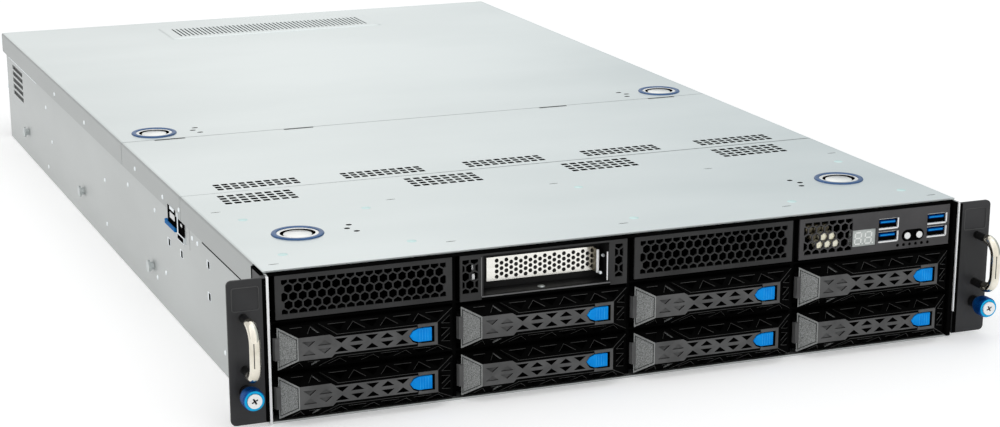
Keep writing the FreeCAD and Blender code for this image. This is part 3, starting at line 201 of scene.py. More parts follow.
# Lids. Three sheets of pale zinc-coated steel: the blank is punched flat with its vents, latch holes and
# hook notches, then folded down at both sides. The rear lid's outlet stands in a shallow raised field.
LID_UNDER, LID_SHEET, LID_EDGE, TOP_HALF = 86.2, 1.0, 220.0, 218.4
SKIRT_DROP, FOLD_RADIUS, FOLD_STEPS = 15.6, 1.8, 5
BLANK_HALF = LID_EDGE - FOLD_RADIUS + FOLD_RADIUS * math.pi / 2 + SKIRT_DROP - FOLD_RADIUS
REAR_LID, MID_LID, FRONT_LID = (-49.7, 405.0), (-210.85, -50.5), (-391.0, -211.3)
LATCH_HOLE, REAR_LATCH, FRONT_LATCH = (15.5, 64), (192.0, -29.0), (178.0, -321.5)
REAR_MARK, FRONT_MARK, FRONT_DASH = (2.2, 12, 1.4), (1.9, 12, 1.7), (3.2, 12, 0.45)
REAR_MARKS = [(161.8, -23.0), (165.0, -30.0), (161.8, -38.0)]
FRONT_MARKS = [(-144.5, -314.0), (-148.0, -321.3), (-144.5, -329.0),
               (147.2, -314.0), (150.4, -321.5), (147.2, -329.2)]
OUTLET_Y, OUTLET_SLOTS, OUTLET_PITCH, SLOT_WIDE, SLOT_STRETCH = 346.0, 47, 3.56, 1.4, 25.0
FIELD_HALF, FIELD_RISE, FIELD_SLICES, NEAR = (91.0, 25.0), 0.6, (0.0, 1.5, 4.0), 0.1
HOOK_NOTCHES, NOTCH_HALF, NOTCH_DEEP = (-186.5, -95.3, 96.5, 183.0), 10.6, 2.4
VENT_HOLE, MID_VENT_STEP, MID_VENT_Y, MID_VENT = 4.0, 83.5, -197.0, (10, 3, 5.5, 5.6)
FRONT_VENTS, FRONT_VENT_Y, FRONT_VENT = (-175.5, -54.0, 54.0, 162.5), -229.5, (8, 4, 6.0, 6.05)
FRONT_VENT_STRETCH, REAR_DARK_END = 1.08, 100.0
SKIRT_START, LIP_HALF, OPEN_SEAM = -373.0, 219.3, 1.1
lid_zinc = finish("lid_zinc", (212, 219, 218), (222, 228, 227), (0.3, 0.38), 7.0, 0.9,
                  stretch=(0.5, 1.0, 1.0), grain=(0.04, 1600.0))
# The lid's folded sides take a darker copy of its zinc, as painted shade.
skirt_zinc_shade = finish("skirt_zinc_shade", (168, 171, 170), (180, 183, 182), (0.42, 0.5), 9.0, 0.85,
                    stretch=(1.0, 0.35, 1.0), grain=ROLLED)
# A black for black parts, and painted shade in holes, gaps, slots and recesses.
black_and_painted_shade = finish("black_and_painted_shade", 6, 12, (0.55, 0.7), 90.0, specular=0.0)


def tree_with(name, sizes):
    """An empty node tree with a geometry input, named size inputs and a geometry output."""
    tree = bpy.data.node_groups.new(name, "GeometryNodeTree")
    tree.is_modifier = True
    tree.interface.new_socket("Geometry", in_out="INPUT", socket_type="NodeSocketGeometry")
    for label, kind in sizes:
        tree.interface.new_socket(label, in_out="INPUT", socket_type=f"NodeSocket{kind}")
    tree.interface.new_socket("Geometry", in_out="OUTPUT", socket_type="NodeSocketGeometry")
    return tree, tree.nodes.new("NodeGroupInput"), tree.nodes.new("NodeGroupOutput")


def chain(tree, *steps):
    """Joins nodes in a row by the first geometry sockets."""
    wire(tree, *[(first, 0, second, 0) for first, second in zip(steps, steps[1:])])


def feed(tree, given, *sizes):
    """Links a tree's named sizes to the nodes and inputs that take them."""
    wire(tree, *[(given, *size) for size in sizes])


def punched_sheet_tree():
    """Fills flat outlines, punches a many-sided hole at each loose point and thickens the sheet upward."""
    tree, given, result = tree_with("punched_sheet", (
        ("Sheet", "Float"), ("Hole Sides", "Int"), ("Hole Radius", "Float"), ("Hole Turn", "Rotation"),
        ("Hole Stretch", "Vector"), ("Material", "Material")))
    edges, near, hole, turned, stretched, stamp, real = add(
        tree, "GeometryNode", "MeshToCurve", "InputMeshVertexNeighbors", "CurvePrimitiveCircle", "Transform",
        "Transform", "InstanceOnPoints", "RealizeInstances")
    together, fill, raised, under, shell, weld, solid, paint = add(
        tree, "GeometryNode", "JoinGeometry", "FillCurve", "ExtrudeMesh", "FlipFaces", "JoinGeometry",
        "MergeByDistance", "RealizeInstances", "SetMaterial")
    loose, = add(tree, "FunctionNode", "Compare")
    loose.data_type, loose.operation = "INT", "EQUAL"
    fill.mode, raised.mode = "TRIANGLES", "FACES"
    raised.inputs["Individual"].default_value = False
    weld.inputs["Distance"].default_value = 0.0005
    chain(tree, given, edges, together, fill, raised, shell, weld, solid, paint, result)
    chain(tree, hole, turned, stretched)
    chain(tree, given, stamp, real, together)
    chain(tree, fill, under, shell)
    wire(tree, (stretched, 0, stamp, "Instance"), (near, "Vertex Count", loose, "A"),
         (loose, 0, stamp, "Selection"))
    feed(tree, given, ("Sheet", raised, "Offset Scale"), ("Hole Sides", hole, "Resolution"),
         ("Hole Radius", hole, "Radius"), ("Hole Turn", turned, "Rotation"),
         ("Hole Stretch", stretched, "Scale"), ("Material", paint, "Material"))
    return tree


def evaluated(item, step):
    """The plain mesh of an object with one modifier, which is then removed with its object."""
    graph = bpy.context.evaluated_depsgraph_get()
    plain = bpy.data.meshes.new_from_object(item.evaluated_get(graph), depsgraph=graph)
    item.modifiers.remove(step)
    dropped(item)
    return plain


def dropped(item):
    """Removes a helper object and its mesh."""
    mesh = item.data
    bpy.data.objects.remove(item)
    bpy.data.meshes.remove(mesh)


def made_by(tree, mesh, sizes):
    """Runs a node tree on a mesh and returns the result as a plain mesh."""
    item = placed("blank", mesh)
    step = item.modifiers.new("make", "NODES")
    step.node_group = tree
    for socket in tree.interface.items_tree:
        if socket.in_out == "INPUT" and socket.name in sizes:
            step[socket.identifier] = sizes[socket.name]
    return evaluated(item, step)


punched_sheet = punched_sheet_tree()


def sheet(loops, thickness, material, points=(), sides=4, radius=1.0, stretch=(1.0, 1.0), turn=math.pi / 4):
    """A flat sheet from z = 0 up, in millimetres: outline and odd holes as loops, like holes as points."""
    corners, edges = [], []
    for loop in loops:
        first, count = len(corners), len(loop)
        corners += [(x, y, 0.0) for x, y in loop]
        edges += [(first + step, first + (step + 1) % count) for step in range(count)]
    return made_by(punched_sheet, mesh_from(corners + [(x, y, 0.0) for x, y in points], edges), {
        "Sheet": thickness, "Hole Sides": sides, "Hole Radius": radius, "Hole Turn": (0.0, 0.0, turn),
        "Hole Stretch": (*stretch, 1.0), "Material": material})


def ring_of(x, y, radius, count, tall=None, start=0.0):
    """Points of a circle, or of an ellipse where a second radius is given."""
    return [(x + radius * math.cos(start + math.tau * step / count),
             y + (tall or radius) * math.sin(start + math.tau * step / count)) for step in range(count)]


def rings_at(points, radius, count, tall=None):
    """A circle or an ellipse about each point."""
    return [ring_of(x, y, radius, count, tall) for x, y in points]


def rectangle(low_x, low_y, high_x, high_y):
    return [(low_x, low_y), (high_x, low_y), (high_x, high_y), (low_x, high_y)]


def grid(x, y, columns, rows, pitch_x, pitch_y):
    """Points of a centred grid."""
    return [(x + (column - (columns - 1) / 2) * pitch_x, y + (row - (rows - 1) / 2) * pitch_y)
            for column in range(columns) for row in range(rows)]


@contextmanager
def editing(mesh):
    """A mesh opened for an edit, which is written back at its end."""
    work = bmesh.new()
    work.from_mesh(mesh)
    yield work
    work.to_mesh(mesh)
    work.free()


def slice_at(work, at, normal):
    bmesh.ops.bisect_plane(work, geom=work.verts[:] + work.edges[:] + work.faces[:], dist=0.00001,
                           plane_co=at, plane_no=normal)


def folded(mesh):
    """Bends a lid's blank down at both sides, round a bend whose outside is the top face."""
    arc, flat = FOLD_RADIUS * math.pi / 2, LID_EDGE - FOLD_RADIUS
    with editing(mesh) as work:
        for side in (-1, 1):
            for step in range(-1, FOLD_STEPS + 2):
                slice_at(work, (side * (flat + arc * step / FOLD_STEPS), 0, 0), (side, 0, 0))
        for corner in work.verts:
            over = abs(corner.co.x) - flat
            if over > 0.0001:
                bend = min(over / FOLD_RADIUS, math.pi / 2)
                reach = FOLD_RADIUS - LID_SHEET + corner.co.z
                corner.co.x = math.copysign(flat + reach * math.sin(bend), corner.co.x)
                corner.co.z = LID_SHEET - FOLD_RADIUS + reach * math.cos(bend) - max(0.0, over - arc)
    return mesh


def moved(mesh, x=0.0, y=0.0, z=0.0):
    mesh.transform(Matrix.Translation((x, y, z)))
    return mesh


def painted(mesh, materials, choose):
    """Gives each face the finish that its place and direction call for."""
    mesh.materials.clear()
    for material in materials:
        mesh.materials.append(material)
    for face in mesh.polygons:
        face.material_index = choose(face.center, face.normal)
    return mesh


def lid_from(blank, low, high):
    """A lid folded from its blank: bright on top, with painted shade on its sides and inside its punched
    holes.
    """
    def choose(place, normal):
        if abs(normal.x) > 0.6 and abs(place.x) > TOP_HALF:
            return 1
        inside = abs(place.x) < TOP_HALF - 1.0 and low + 1.0 < place.y < high - 1.0
        return 2 if inside and abs(normal.z) < 0.3 else 0

    return moved(painted(folded(blank), (lid_zinc, skirt_zinc_shade, black_and_painted_shade), choose), z=LID_UNDER)


def piece(name, body, slot, *parts, replaces=(), smooth=32.0):
    """One finished object from part meshes that are already in place, in millimetres."""
    mesh = bpy.data.meshes.new(name)
    with editing(mesh) as work:
        for part in parts:
            first, before = len(mesh.materials), len(work.faces)
            for material in part.materials:
                mesh.materials.append(material)
            work.from_mesh(part)
            work.faces.ensure_lookup_table()
            for face in work.faces[before:]:
                face.material_index += first
            bpy.data.meshes.remove(part)
        bmesh.ops.scale(work, vec=(MM, MM, MM), verts=work.verts)
    mesh.shade_smooth()
    mesh.set_sharp_from_angle(angle=math.radians(smooth))
    item = placed(name, mesh)
    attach(item, body)
    if replaces:
        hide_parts(*replaces)
    return item


def both(points):
    """The points and their mirror image on the other half of the lid."""
    return [(side * x, y) for x, y in points for side in (-1, 1)]


rear_loops = [rectangle(-BLANK_HALF, REAR_LID[0], BLANK_HALF, REAR_LID[1])]
rear_loops += rings_at(both([REAR_LATCH]), *LATCH_HOLE) + rings_at(both(REAR_MARKS), *REAR_MARK)
outlet = grid(0.0, OUTLET_Y, OUTLET_SLOTS, 1, OUTLET_PITCH, 0.0)
rear_blank = sheet(rear_loops, LID_SHEET, lid_zinc, outlet, 4, SLOT_WIDE / math.sqrt(2), (1.0, SLOT_STRETCH))
with editing(rear_blank) as field:
    for beyond in FIELD_SLICES:
        for side in (-1, 1):
            slice_at(field, (side * (FIELD_HALF[0] + beyond), 0, 0), (1, 0, 0))
            slice_at(field, (0, OUTLET_Y + side * (FIELD_HALF[1] + beyond), 0), (0, 1, 0))
    for corner in field.verts:
        if abs(corner.co.x) < FIELD_HALF[0] + NEAR and abs(corner.co.y - OUTLET_Y) < FIELD_HALF[1] + NEAR:
            corner.co.z += FIELD_RISE
piece("rear_lid_sheet", "rear_lid", "case_metal", lid_from(rear_blank, REAR_LID[0], REAR_DARK_END),
      replaces=("rear_cover",), smooth=20.0)

mid_outline = [(-BLANK_HALF, MID_LID[0]), (BLANK_HALF, MID_LID[0]), (BLANK_HALF, MID_LID[1])]
for centre in reversed(HOOK_NOTCHES):
    mid_outline += [(centre + reach * NOTCH_HALF, MID_LID[1] - deep)
                    for reach, deep in ((1, 0.0), (1, NOTCH_DEEP), (-1, NOTCH_DEEP), (-1, 0.0))]
mid_outline += [(-BLANK_HALF, MID_LID[1])]
mid_vents = [point for step in range(-2, 3)
             for point in grid(MID_VENT_STEP * step, MID_VENT_Y, *MID_VENT)]
mid_blank = sheet([mid_outline], LID_SHEET, lid_zinc, mid_vents, 4, VENT_HOLE / math.sqrt(2))
piece("middle_lid_sheet", "case", "case_metal", lid_from(mid_blank, *MID_LID), replaces=("mid_cover",))

front_dashes = [(x, y) for x in (-102.0, 6.0, 114.0) for y in (-266.0, -371.0)]
front_dashes += both([(209.5, -257.0), (209.5, -379.5)])
front_half = [(LIP_HALF, FRONT_LID[0]), (LIP_HALF, SKIRT_START), (BLANK_HALF, SKIRT_START),
              (BLANK_HALF, FRONT_LID[1])]
front_outline = front_half + [(-x, y) for x, y in reversed(front_half)]
front_outline[3] = (BLANK_HALF, FRONT_LID[1] - OPEN_SEAM)
front_loops = [front_outline] + rings_at(both([FRONT_LATCH]), *LATCH_HOLE)
front_loops += rings_at(FRONT_MARKS, *FRONT_MARK) + rings_at(front_dashes, *FRONT_DASH)
front_vents = [point for x in FRONT_VENTS for point in grid(x, FRONT_VENT_Y, *FRONT_VENT)]
front_blank = sheet(front_loops, LID_SHEET, lid_zinc, front_vents, 4, VENT_HOLE / math.sqrt(2),
                    (FRONT_VENT_STRETCH, 1.0))
piece("front_lid_sheet", "front_lid", "case_metal", lid_from(front_blank, *FRONT_LID),
      replaces=("front_cover",))

# Flush rivets. Steel rivets hold the cage under the front lid and the braces inside the side walls.
# Each head is a low disc that stands a few tenths of a millimetre proud of its sheet.
SIDES = (("left", -1), ("right", 1))
HEAD_RISE, HEAD_SUNK, HEAD_TAPER, LID_HEAD, WALL_HEAD, WALL_EXTRA = 0.35, 0.2, 0.8, 3.3, 1.7, 0.3
LID_TOP, WALL_OUT = LID_UNDER + LID_SHEET, 218.7
LID_RIVETS = ((-280.0, (-199.0, -122.5, 17.0, 201.5)), (-362.0, (-199.0, -122.5, 17.0, 122.5, 199.0)))
WALL_RIVETS = [(-303.0, 14.0), (-234.0, 66.5), (-246.5, 66.3), (-161.0, 25.2), (-136.0, 15.5), (-136.5, 60.8),
               (-60.0, 60.4), (15.0, 46.5), (15.0, 14.5), (208.0, 33.5), (226.0, 57.5), (229.0, 9.1),
               (396.0, 43.0)]
SIDE_RIVETS = (("wall", "case", WALL_OUT, WALL_RIVETS),
               ("rear_lid_skirt", "rear_lid", LID_EDGE, [(180.0, 77.0), (71.0, 76.8)]),
               ("case_skirt", "case", LID_EDGE, [(-90.0, 78.0), (-166.0, 76.6), (-208.0, 78.2)]))
# Pale steel for rivets and screws, also used for painted highlights on lit edges.
pale_rivet_and_highlight = finish("pale_rivet_and_highlight", (228, 235, 238), (240, 245, 247), (0.25, 0.35), 160.0, 0.8)
rivet_mint = finish("rivet_mint", (206, 234, 232), (216, 240, 238), (0.4, 0.5), 160.0, 0.3)


def round_heads_tree():
    """A low round head on each point, turned to face along the point's own direction."""
    tree, given, result = tree_with("round_heads", (
        ("Radius", "Float"), ("Rise", "Float"), ("Sides", "Int"), ("Material", "Material")))
    disc, facing, stamp, real, paint = add(tree, "GeometryNode", "MeshCone", "InputNamedAttribute",
                                           "InstanceOnPoints", "RealizeInstances", "SetMaterial")
    top, = add(tree, "ShaderNode", "Math")
    aim, = add(tree, "FunctionNode", "AlignRotationToVector")
    top.operation, top.inputs[1].default_value = "MULTIPLY", HEAD_TAPER
    facing.data_type, facing.inputs["Name"].default_value = "FLOAT_VECTOR", "facing"
    aim.axis = "Z"
    chain(tree, given, stamp, real, paint, result)
    wire(tree, (top, 0, disc, "Radius Top"), (disc, "Mesh", stamp, "Instance"),
         (facing, "Attribute", aim, "Vector"), (aim, "Rotation", stamp, "Rotation"))
    feed(tree, given, ("Radius", top, 0), ("Radius", disc, "Radius Bottom"), ("Sides", disc, "Vertices"),
         ("Rise", disc, "Depth"), ("Material", paint, "Material"))
    return tree


round_heads = round_heads_tree()


def heads(places, direction, radius, rise, sides, material):
    """Round heads at the given places, all facing one way."""
    mesh = mesh_from(places)
    facing = mesh.attributes.new("facing", "FLOAT_VECTOR", "POINT")
    facing.data.foreach_set("vector", list(direction) * len(places))
    return made_by(round_heads, mesh, {"Radius": radius, "Rise": rise, "Sides": sides, "Material": material})


lid_rivets = [(x, y, LID_TOP - HEAD_SUNK) for y, row in LID_RIVETS for x in row]
piece("front_lid_rivets", "front_lid", "case_metal",
      heads(lid_rivets, (0, 0, 1), LID_HEAD, HEAD_RISE, 20, rivet_mint))
for name, side in SIDES:
    for label, body, stand, places in SIDE_RIVETS:
        points = [(side * (stand - HEAD_SUNK), y, z) for y, z in places]
        piece(f"{name}_{label}_rivets", body, "case_metal",
              heads(points, (side, 0, 0), WALL_HEAD, HEAD_RISE + WALL_EXTRA, 16, pale_rivet_and_highlight))

# Left side lock. A black block fills notches in the skirt and the wall beside the seam of the lids, painted
# shade inside an opening. Bright steel catches show on it above a blue pull tab. The lances and the lines on
# the wall, the skirt and the notch behind the ear are small blocks in the same piece: the dark ones are
# painted shadow, and the bright ones are painted highlights.
WALL_FACE = 218.3
LANCES = [(-173.7, 48.8), (-205.7, 49.1), (-271.8, 59.4), (-271.5, 39.5)]
tab_blue = finish("tab_blue", (0, 100, 170), (4, 112, 182), (0.4, 0.5), 220.0, specular=0.03)
catch_steel = finish("catch_steel", (196, 197, 197), (220, 221, 221), (0.3, 0.4), 180.0, 0.5)


def mesh_of(work, *materials):
    """The finished mesh of an edit, with its finishes."""
    mesh = bpy.data.meshes.new("form")
    work.to_mesh(mesh)
    work.free()
    for material in materials:
        mesh.materials.append(material)
    return mesh


def block(low, high, material, ease=0.0, steps=1):
    """A box with rounded edges, in millimetres."""
    work = bmesh.new()
    bmesh.ops.create_cube(work, size=1.0)
    bmesh.ops.scale(work, vec=[top - base for base, top in zip(low, high)], verts=work.verts)
    bmesh.ops.translate(work, vec=[(top + base) / 2 for base, top in zip(low, high)], verts=work.verts)
    if ease:
        bmesh.ops.bevel(work, geom=work.edges[:], offset=ease, segments=steps, affect="EDGES", profile=0.5)
    return mesh_of(work, material)


def on_left(stand, low, high, material, ease=0.1):
    """A block let into the left wall, from its lowest to its highest y and z, standing out to a given x."""
    return block((-stand, *low), (-WALL_FACE, *high), material, ease)


lock_parts = [on_left(*row) for row in (
    (220.15, (-197.8, 63.9), (-178.0, 75.0), black_and_painted_shade),
    (220.3, (-195.0, 73.2), (-184.0, 75.3), pale_rivet_and_highlight),
    (220.3, (-196.4, 67.8), (-184.2, 71.6), catch_steel),
    (220.15, (-215.6, 62.7), (-204.4, 71.0), black_and_painted_shade),
    (220.25, (-215.0, 68.4), (-211.0, 70.2), catch_steel),
    (220.25, (-204.4, 61.6), (-202.2, 75.0), pale_rivet_and_highlight),
    (220.1, (-217.4, 58.0), (-201.0, 62.4), pale_rivet_and_highlight),
    (220.2, (-216.4, 58.5), (-202.0, 61.6), black_and_painted_shade),
    (220.3, (-194.9, 60.4), (-169.2, 63.6), tab_blue, 0.3),
    (218.95, (-227.0, 57.0), (-216.6, 71.5), wall_zinc),
    (219.95, (SKIRT_START + 0.2, 70.5), (-262.0, 71.55), black_and_painted_shade),
    (220.75, (-391.0, 84.9), (-373.2, 85.9), black_and_painted_shade),
    (220.75, (-375.6, 71.8), (-373.2, 85.9), black_and_painted_shade),
    (218.9, (262.0, 69.6), (384.0, 70.2), pale_rivet_and_highlight, 0.05))]
# Each lance is a bright strip, a painted highlight, under a dark slot of painted shade.
for y, z in LANCES:
    lock_parts += [on_left(218.85, (y - 2.6, z - 2.6), (y + 4.4, z + 2.6), pale_rivet_and_highlight),
                   on_left(218.95, (y - 2.0, z - 2.2), (y + 1.6, z + 2.2), black_and_painted_shade)]
piece("left_side_lock", "case", "latch_blue", *lock_parts)

# Lid latches. A blue ring is pressed into the lid round a bright seat; the gap inside the seat is painted
# dark as shade.
# The sprung steel button in its middle has a smooth top and is pushed to free the lid.
CUP = [(8.8, 82.2), (15.3, 82.2), (15.3, 86.0), (12.3, 86.0), (12.3, 84.2), (8.8, 84.2)]
RIM = [(12.3, 86.0), (15.4, 86.0), (15.4, 87.4), (15.2, 87.8), (14.7, 88.0), (12.9, 88.0), (12.5, 87.85),
       (12.3, 87.5)]
SEAT_RADIUS, SEAT_HOLE, SEAT_SHEET, SEAT_Z = 12.25, (10.5, 9.3), 0.9, 86.6
LATCH_BUTTON = [(0.0, 82.3), (8.3, 82.3), (8.5, 82.5), (8.5, 86.7), (8.3, 87.0), (7.8, 87.2), (0.0, 87.3)]
ring_blue = finish("ring_blue", (46, 84, 130), (60, 98, 146), (0.3, 0.38), 60.0, 0.3, 0.3)
button_steel = finish("button_steel", (244, 245, 241), (249, 250, 247), (0.24, 0.28), 40.0, 0.4)


def turned_shape(profile, material, count=64, closed=False):
    """A shape turned about the Z axis from points of radius and height, closed on itself or at its poles."""
    work = bmesh.new()
    rings = []
    for radius, height in profile:
        places = ring_of(0.0, 0.0, radius, count) if radius > 0.0001 else [(0.0, 0.0)]
        rings.append([work.verts.new((x, y, height)) for x, y in places])
    for low, high in zip(rings, rings[1:] + rings[:1] if closed else rings[1:]):
        for step in range(count):
            corners = [low[step % len(low)], low[(step + 1) % len(low)],
                       high[(step + 1) % len(high)], high[step % len(high)]]
            work.faces.new(list(dict.fromkeys(corners)))
    bmesh.ops.recalc_face_normals(work, faces=work.faces[:])
    return mesh_of(work, material)


def latch_ring(x, y):
    """The parts of one latch that stay with the lid."""
    loops = [ring_of(0.0, 0.0, SEAT_RADIUS, 64), ring_of(0.0, 0.0, SEAT_HOLE[0], 48, SEAT_HOLE[1])]
    seat = painted(moved(sheet(loops, SEAT_SHEET, button_steel), z=SEAT_Z), (button_steel, black_and_painted_shade),
                   lambda place, normal: int(abs(normal.z) < 0.3))
    parts = [turned_shape(CUP, black_and_painted_shade, closed=True), turned_shape(RIM, ring_blue, closed=True), seat]
    return [moved(part, x, y) for part in parts]


for lid, (x, y) in (("rear", REAR_LATCH), ("front", FRONT_LATCH)):
    piece(f"{lid}_lid_latch_rings", f"{lid}_lid", "latch_blue", *latch_ring(-x, y), *latch_ring(x, y),
          replaces=(f"{lid}_latch_rings",))
    for name, side in SIDES:
        piece(f"{lid}_{name}_latch_button", f"{lid}_{name}_latch", "stud_steel",
              moved(turned_shape(LATCH_BUTTON, button_steel), side * x, y), replaces=(f"{lid}_{name}_latch",))

# Rack ears. Folded steel angles in dark powder coat, screwed to the walls, each with a shallow pressed panel.
# The coat is a fine matt grain, and the panel's edge is painted lighter as a highlight.
# The fold beside the wall lies in shade, painted as a dark strip.
EAR_X, EAR_EASE, SHARP, POWDER = 231.0, 0.35, math.radians(30.0), (0.25, 2600.0)
PANEL_RIM, PANEL_FIELD = (-7.9, 67.4, 7.9, 81.2, 1.6), (-7.4, 67.9, 7.4, 80.7, 1.2)
PANEL_Y, PANEL_RISE = -396.95, 0.2
SHADE_X, SHADE_Y, SHADE_Z = (218.75, 221.4), (-397.2, -396.6), (2.6, 84.8)
ear_coat = finish("ear_coat", (50, 50, 51), (60, 60, 61), (0.42, 0.55), 30.0, specular=0.2, grain=POWDER)
ear_panel_highlight = finish("ear_panel_highlight", 68, 78, (0.4, 0.5), 80.0, specular=0.2)


def eased(node, material, width=0.0, steps=2):
    """A copy of a CAD node, in millimetres, with its sharp edges rounded."""
    work = bmesh.new()
    work.from_mesh(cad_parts[node].data)
    bmesh.ops.scale(work, vec=(1 / MM, 1 / MM, 1 / MM), verts=work.verts)
    bmesh.ops.remove_doubles(work, verts=work.verts[:], dist=0.001)
    bmesh.ops.dissolve_limit(work, angle_limit=math.radians(0.5), verts=work.verts[:], edges=work.edges[:])
    if width:
        sharp = [edge for edge in work.edges if len(edge.link_faces) == 2 and edge.calc_face_angle() > SHARP]
        bmesh.ops.bevel(work, geom=sharp, offset=width, segments=steps, affect="EDGES", profile=0.5,
                        clamp_overlap=True)
    bmesh.ops.triangulate(work, faces=work.faces[:])
    for face in work.faces:
        face.material_index = 0
    return mesh_of(work, material)


def rounded(low_x, low_y, high_x, high_y, radius, count=6):
    """A rectangle with round corners."""
    corners = []
    for x, y, start in ((high_x - radius, high_y - radius, 0.0), (low_x + radius, high_y - radius, 90.0),
                        (low_x + radius, low_y + radius, 180.0), (high_x - radius, low_y + radius, 270.0)):
        turns = [math.radians(start + 90.0 * step / count) for step in range(count + 1)]
        corners += [(x + radius * math.cos(turn), y + radius * math.sin(turn)) for turn in turns]
    return corners


TO_FRONT = Matrix(((1, 0, 0, 0), (0, 0, -1, 0), (0, 1, 0, 0), (0, 0, 0, 1)))


def upright_at(mesh, x=0.0, y=0.0, z=0.0):
    """Stands a flat shape up, with its top facing forward, and moves its origin to a place."""
    mesh.transform(Matrix.Translation((x, y, z)) @ TO_FRONT)
    return mesh


for name, side in SIDES:
    panel = sheet([rounded(*PANEL_RIM), rounded(*PANEL_FIELD)], PANEL_RISE, ear_panel_highlight)
    shade = block(*zip(sorted(side * x for x in SHADE_X), SHADE_Y, SHADE_Z), black_and_painted_shade, 0.15)
    piece(f"{name}_ear_angle", "case", "ear_metal", eased(f"{name}_ear", ear_coat, EAR_EASE),
          upright_at(panel, side * EAR_X, PANEL_Y), shade, replaces=(f"{name}_ear",))

# Bow handles. Round nickel-plated bar, bent into a bow and screwed to the ears from behind.
# Each end is turned down to a slim black foot, and a painted dark reflection runs down the front of the grip.
HANDLE_X, HANDLE_FEET, EAR_FACE = 232.55, (34.2, 64.0), -397.0
BAR_RADIUS, FOOT_RADIUS, FOOT_LONG, REACH, BEND, BAR_SIDES = 3.1, 2.4, 11.5, 22.0, 9.0, 24
DARK_REFLECTION_LOW, DARK_REFLECTION_HIGH = (-1.45, -421.98, 42.5), (-0.95, -421.2, 56.5)
bright_nickel = finish("bright_nickel", (214, 208, 192), (238, 233, 220), (0.1, 0.16), 90.0, 1.0)
black_foot_and_reflection = finish("black_foot_and_reflection", 12, 20, (0.25, 0.35), 120.0, specular=0.35)


def bow(x):
    """One handle: rings of its bar along the path from the lower foot to the upper one."""
    low, high = HANDLE_FEET
    foot_end, out = EAR_FACE - FOOT_LONG, EAR_FACE - REACH
    turns = [math.radians(10.0 * step) for step in range(10)]
    half = [(EAR_FACE + 0.5, low, 0.0, FOOT_RADIUS), (foot_end, low, 0.0, FOOT_RADIUS),
            (foot_end - 0.3, low, 0.0, BAR_RADIUS)]
    half += [(out + BEND * (1 - math.sin(turn)), low + BEND * (1 - math.cos(turn)), turn, BAR_RADIUS)
             for turn in turns]
    stations = half + [(y, low + high - z, math.pi - turn, radius) for y, z, turn, radius in reversed(half)]
    work = bmesh.new()
    rings = [[work.verts.new((x + radius * beside, y - radius * up * math.sin(turn),
                              z - radius * up * math.cos(turn)))
              for beside, up in ring_of(0.0, 0.0, 1.0, BAR_SIDES)] for y, z, turn, radius in stations]
    for first, second in zip(rings, rings[1:]):
        for step in range(BAR_SIDES):
            work.faces.new((first[step - 1], first[step], second[step], second[step - 1]))
    work.faces.new(rings[0])
    work.faces.new(rings[-1])
    bmesh.ops.recalc_face_normals(work, faces=work.faces[:])
    return painted(mesh_of(work), (bright_nickel, black_foot_and_reflection),
                   lambda place, normal: int(place.y > foot_end - 0.2))


handle_parts = []
for x in (-HANDLE_X, HANDLE_X):
    handle_parts += [bow(x), moved(block(DARK_REFLECTION_LOW, DARK_REFLECTION_HIGH, black_foot_and_reflection, 0.05), x)]
piece("bow_handles", "case", "handle_chrome", *handle_parts, replaces=("rack_handles",))

# Captive thumbscrews. Blue anodised aluminium knobs with fine knurling, on steel screws held in the ears.
# The turned face of the screw shows in the middle of the knob, with a cross for a driver.
SCREW_Z, RIBS, RIB, RIB_RADIUS, RIB_MIDDLE = 21.8, 40, (0.7, 0.45, 6.0), 5.85, 13.5
NECK = [(0.0, 0.3), (3.6, 0.3), (3.6, 7.0), (0.0, 7.0)]
KNOB = [(0.0, 6.9), (4.6, 6.9), (5.4, 8.4), (5.9, 10.4), (5.9, 16.9), (5.6, 17.8), (5.0, 18.0), (4.3, 17.9),
        (4.2, 17.3), (0.0, 17.3)]
SHANK = [(0.0, -11.0), (1.7, -11.0), (2.4, -10.4), (2.45, -2.7), (2.1, -2.4), (2.1, 0.4), (0.0, 0.4)]
CROSS_FLOOR = [(0.0, 17.35), (3.0, 17.35), (3.0, 17.65), (0.0, 17.65)]
CROSS_TURN, SCREW_FACE, FACE_Z = math.radians(28.0), 4.1, 17.8
CROSS = [(x * math.cos(CROSS_TURN) - y * math.sin(CROSS_TURN),
          x * math.sin(CROSS_TURN) + y * math.cos(CROSS_TURN))
         for x, y in ((-0.5, 1.9), (-0.5, 0.5), (-1.9, 0.5), (-1.9, -0.5), (-0.5, -0.5), (-0.5, -1.9),
                      (0.5, -1.9), (0.5, -0.5), (1.9, -0.5), (1.9, 0.5), (0.5, 0.5), (0.5, 1.9))]
rivet_steel = finish("rivet_steel", (186, 192, 192), (206, 211, 211), (0.3, 0.42), 160.0, 0.95)
knob_blue = finish("knob_blue", (0, 160, 218), (10, 176, 230), (0.2, 0.28), 300.0, 0.4, 0.2)
knurl_blue_shade = finish("knurl_blue_shade", (0, 74, 150), (0, 98, 178), (0.3, 0.4), 300.0, 0.7, 0.2)
face_steel = finish("face_steel", (238, 239, 238), (248, 249, 248), (0.25, 0.35), 120.0, 0.2)


def knurl_tree():
    """A ring of upright ribs about each point."""
    tree, given, result = tree_with("knurl", (
        ("Ribs", "Int"), ("Radius", "Float"), ("Rib", "Vector"), ("Material", "Material")))
    circle, rib, where, ribs, ring, real, paint = add(
        tree, "GeometryNode", "MeshCircle", "MeshCube", "InputPosition", "InstanceOnPoints",
        "InstanceOnPoints", "RealizeInstances", "SetMaterial")
    aim, = add(tree, "FunctionNode", "AlignRotationToVector")
    aim.axis = "X"
    chain(tree, given, ring, real, paint, result)
    chain(tree, circle, ribs)
    wire(tree, (rib, "Mesh", ribs, "Instance"), (where, 0, aim, "Vector"),
         (aim, "Rotation", ribs, "Rotation"), (ribs, 0, ring, "Instance"))
    feed(tree, given, ("Ribs", circle, "Vertices"), ("Radius", circle, "Radius"), ("Rib", rib, "Size"),
         ("Material", paint, "Material"))
    return tree


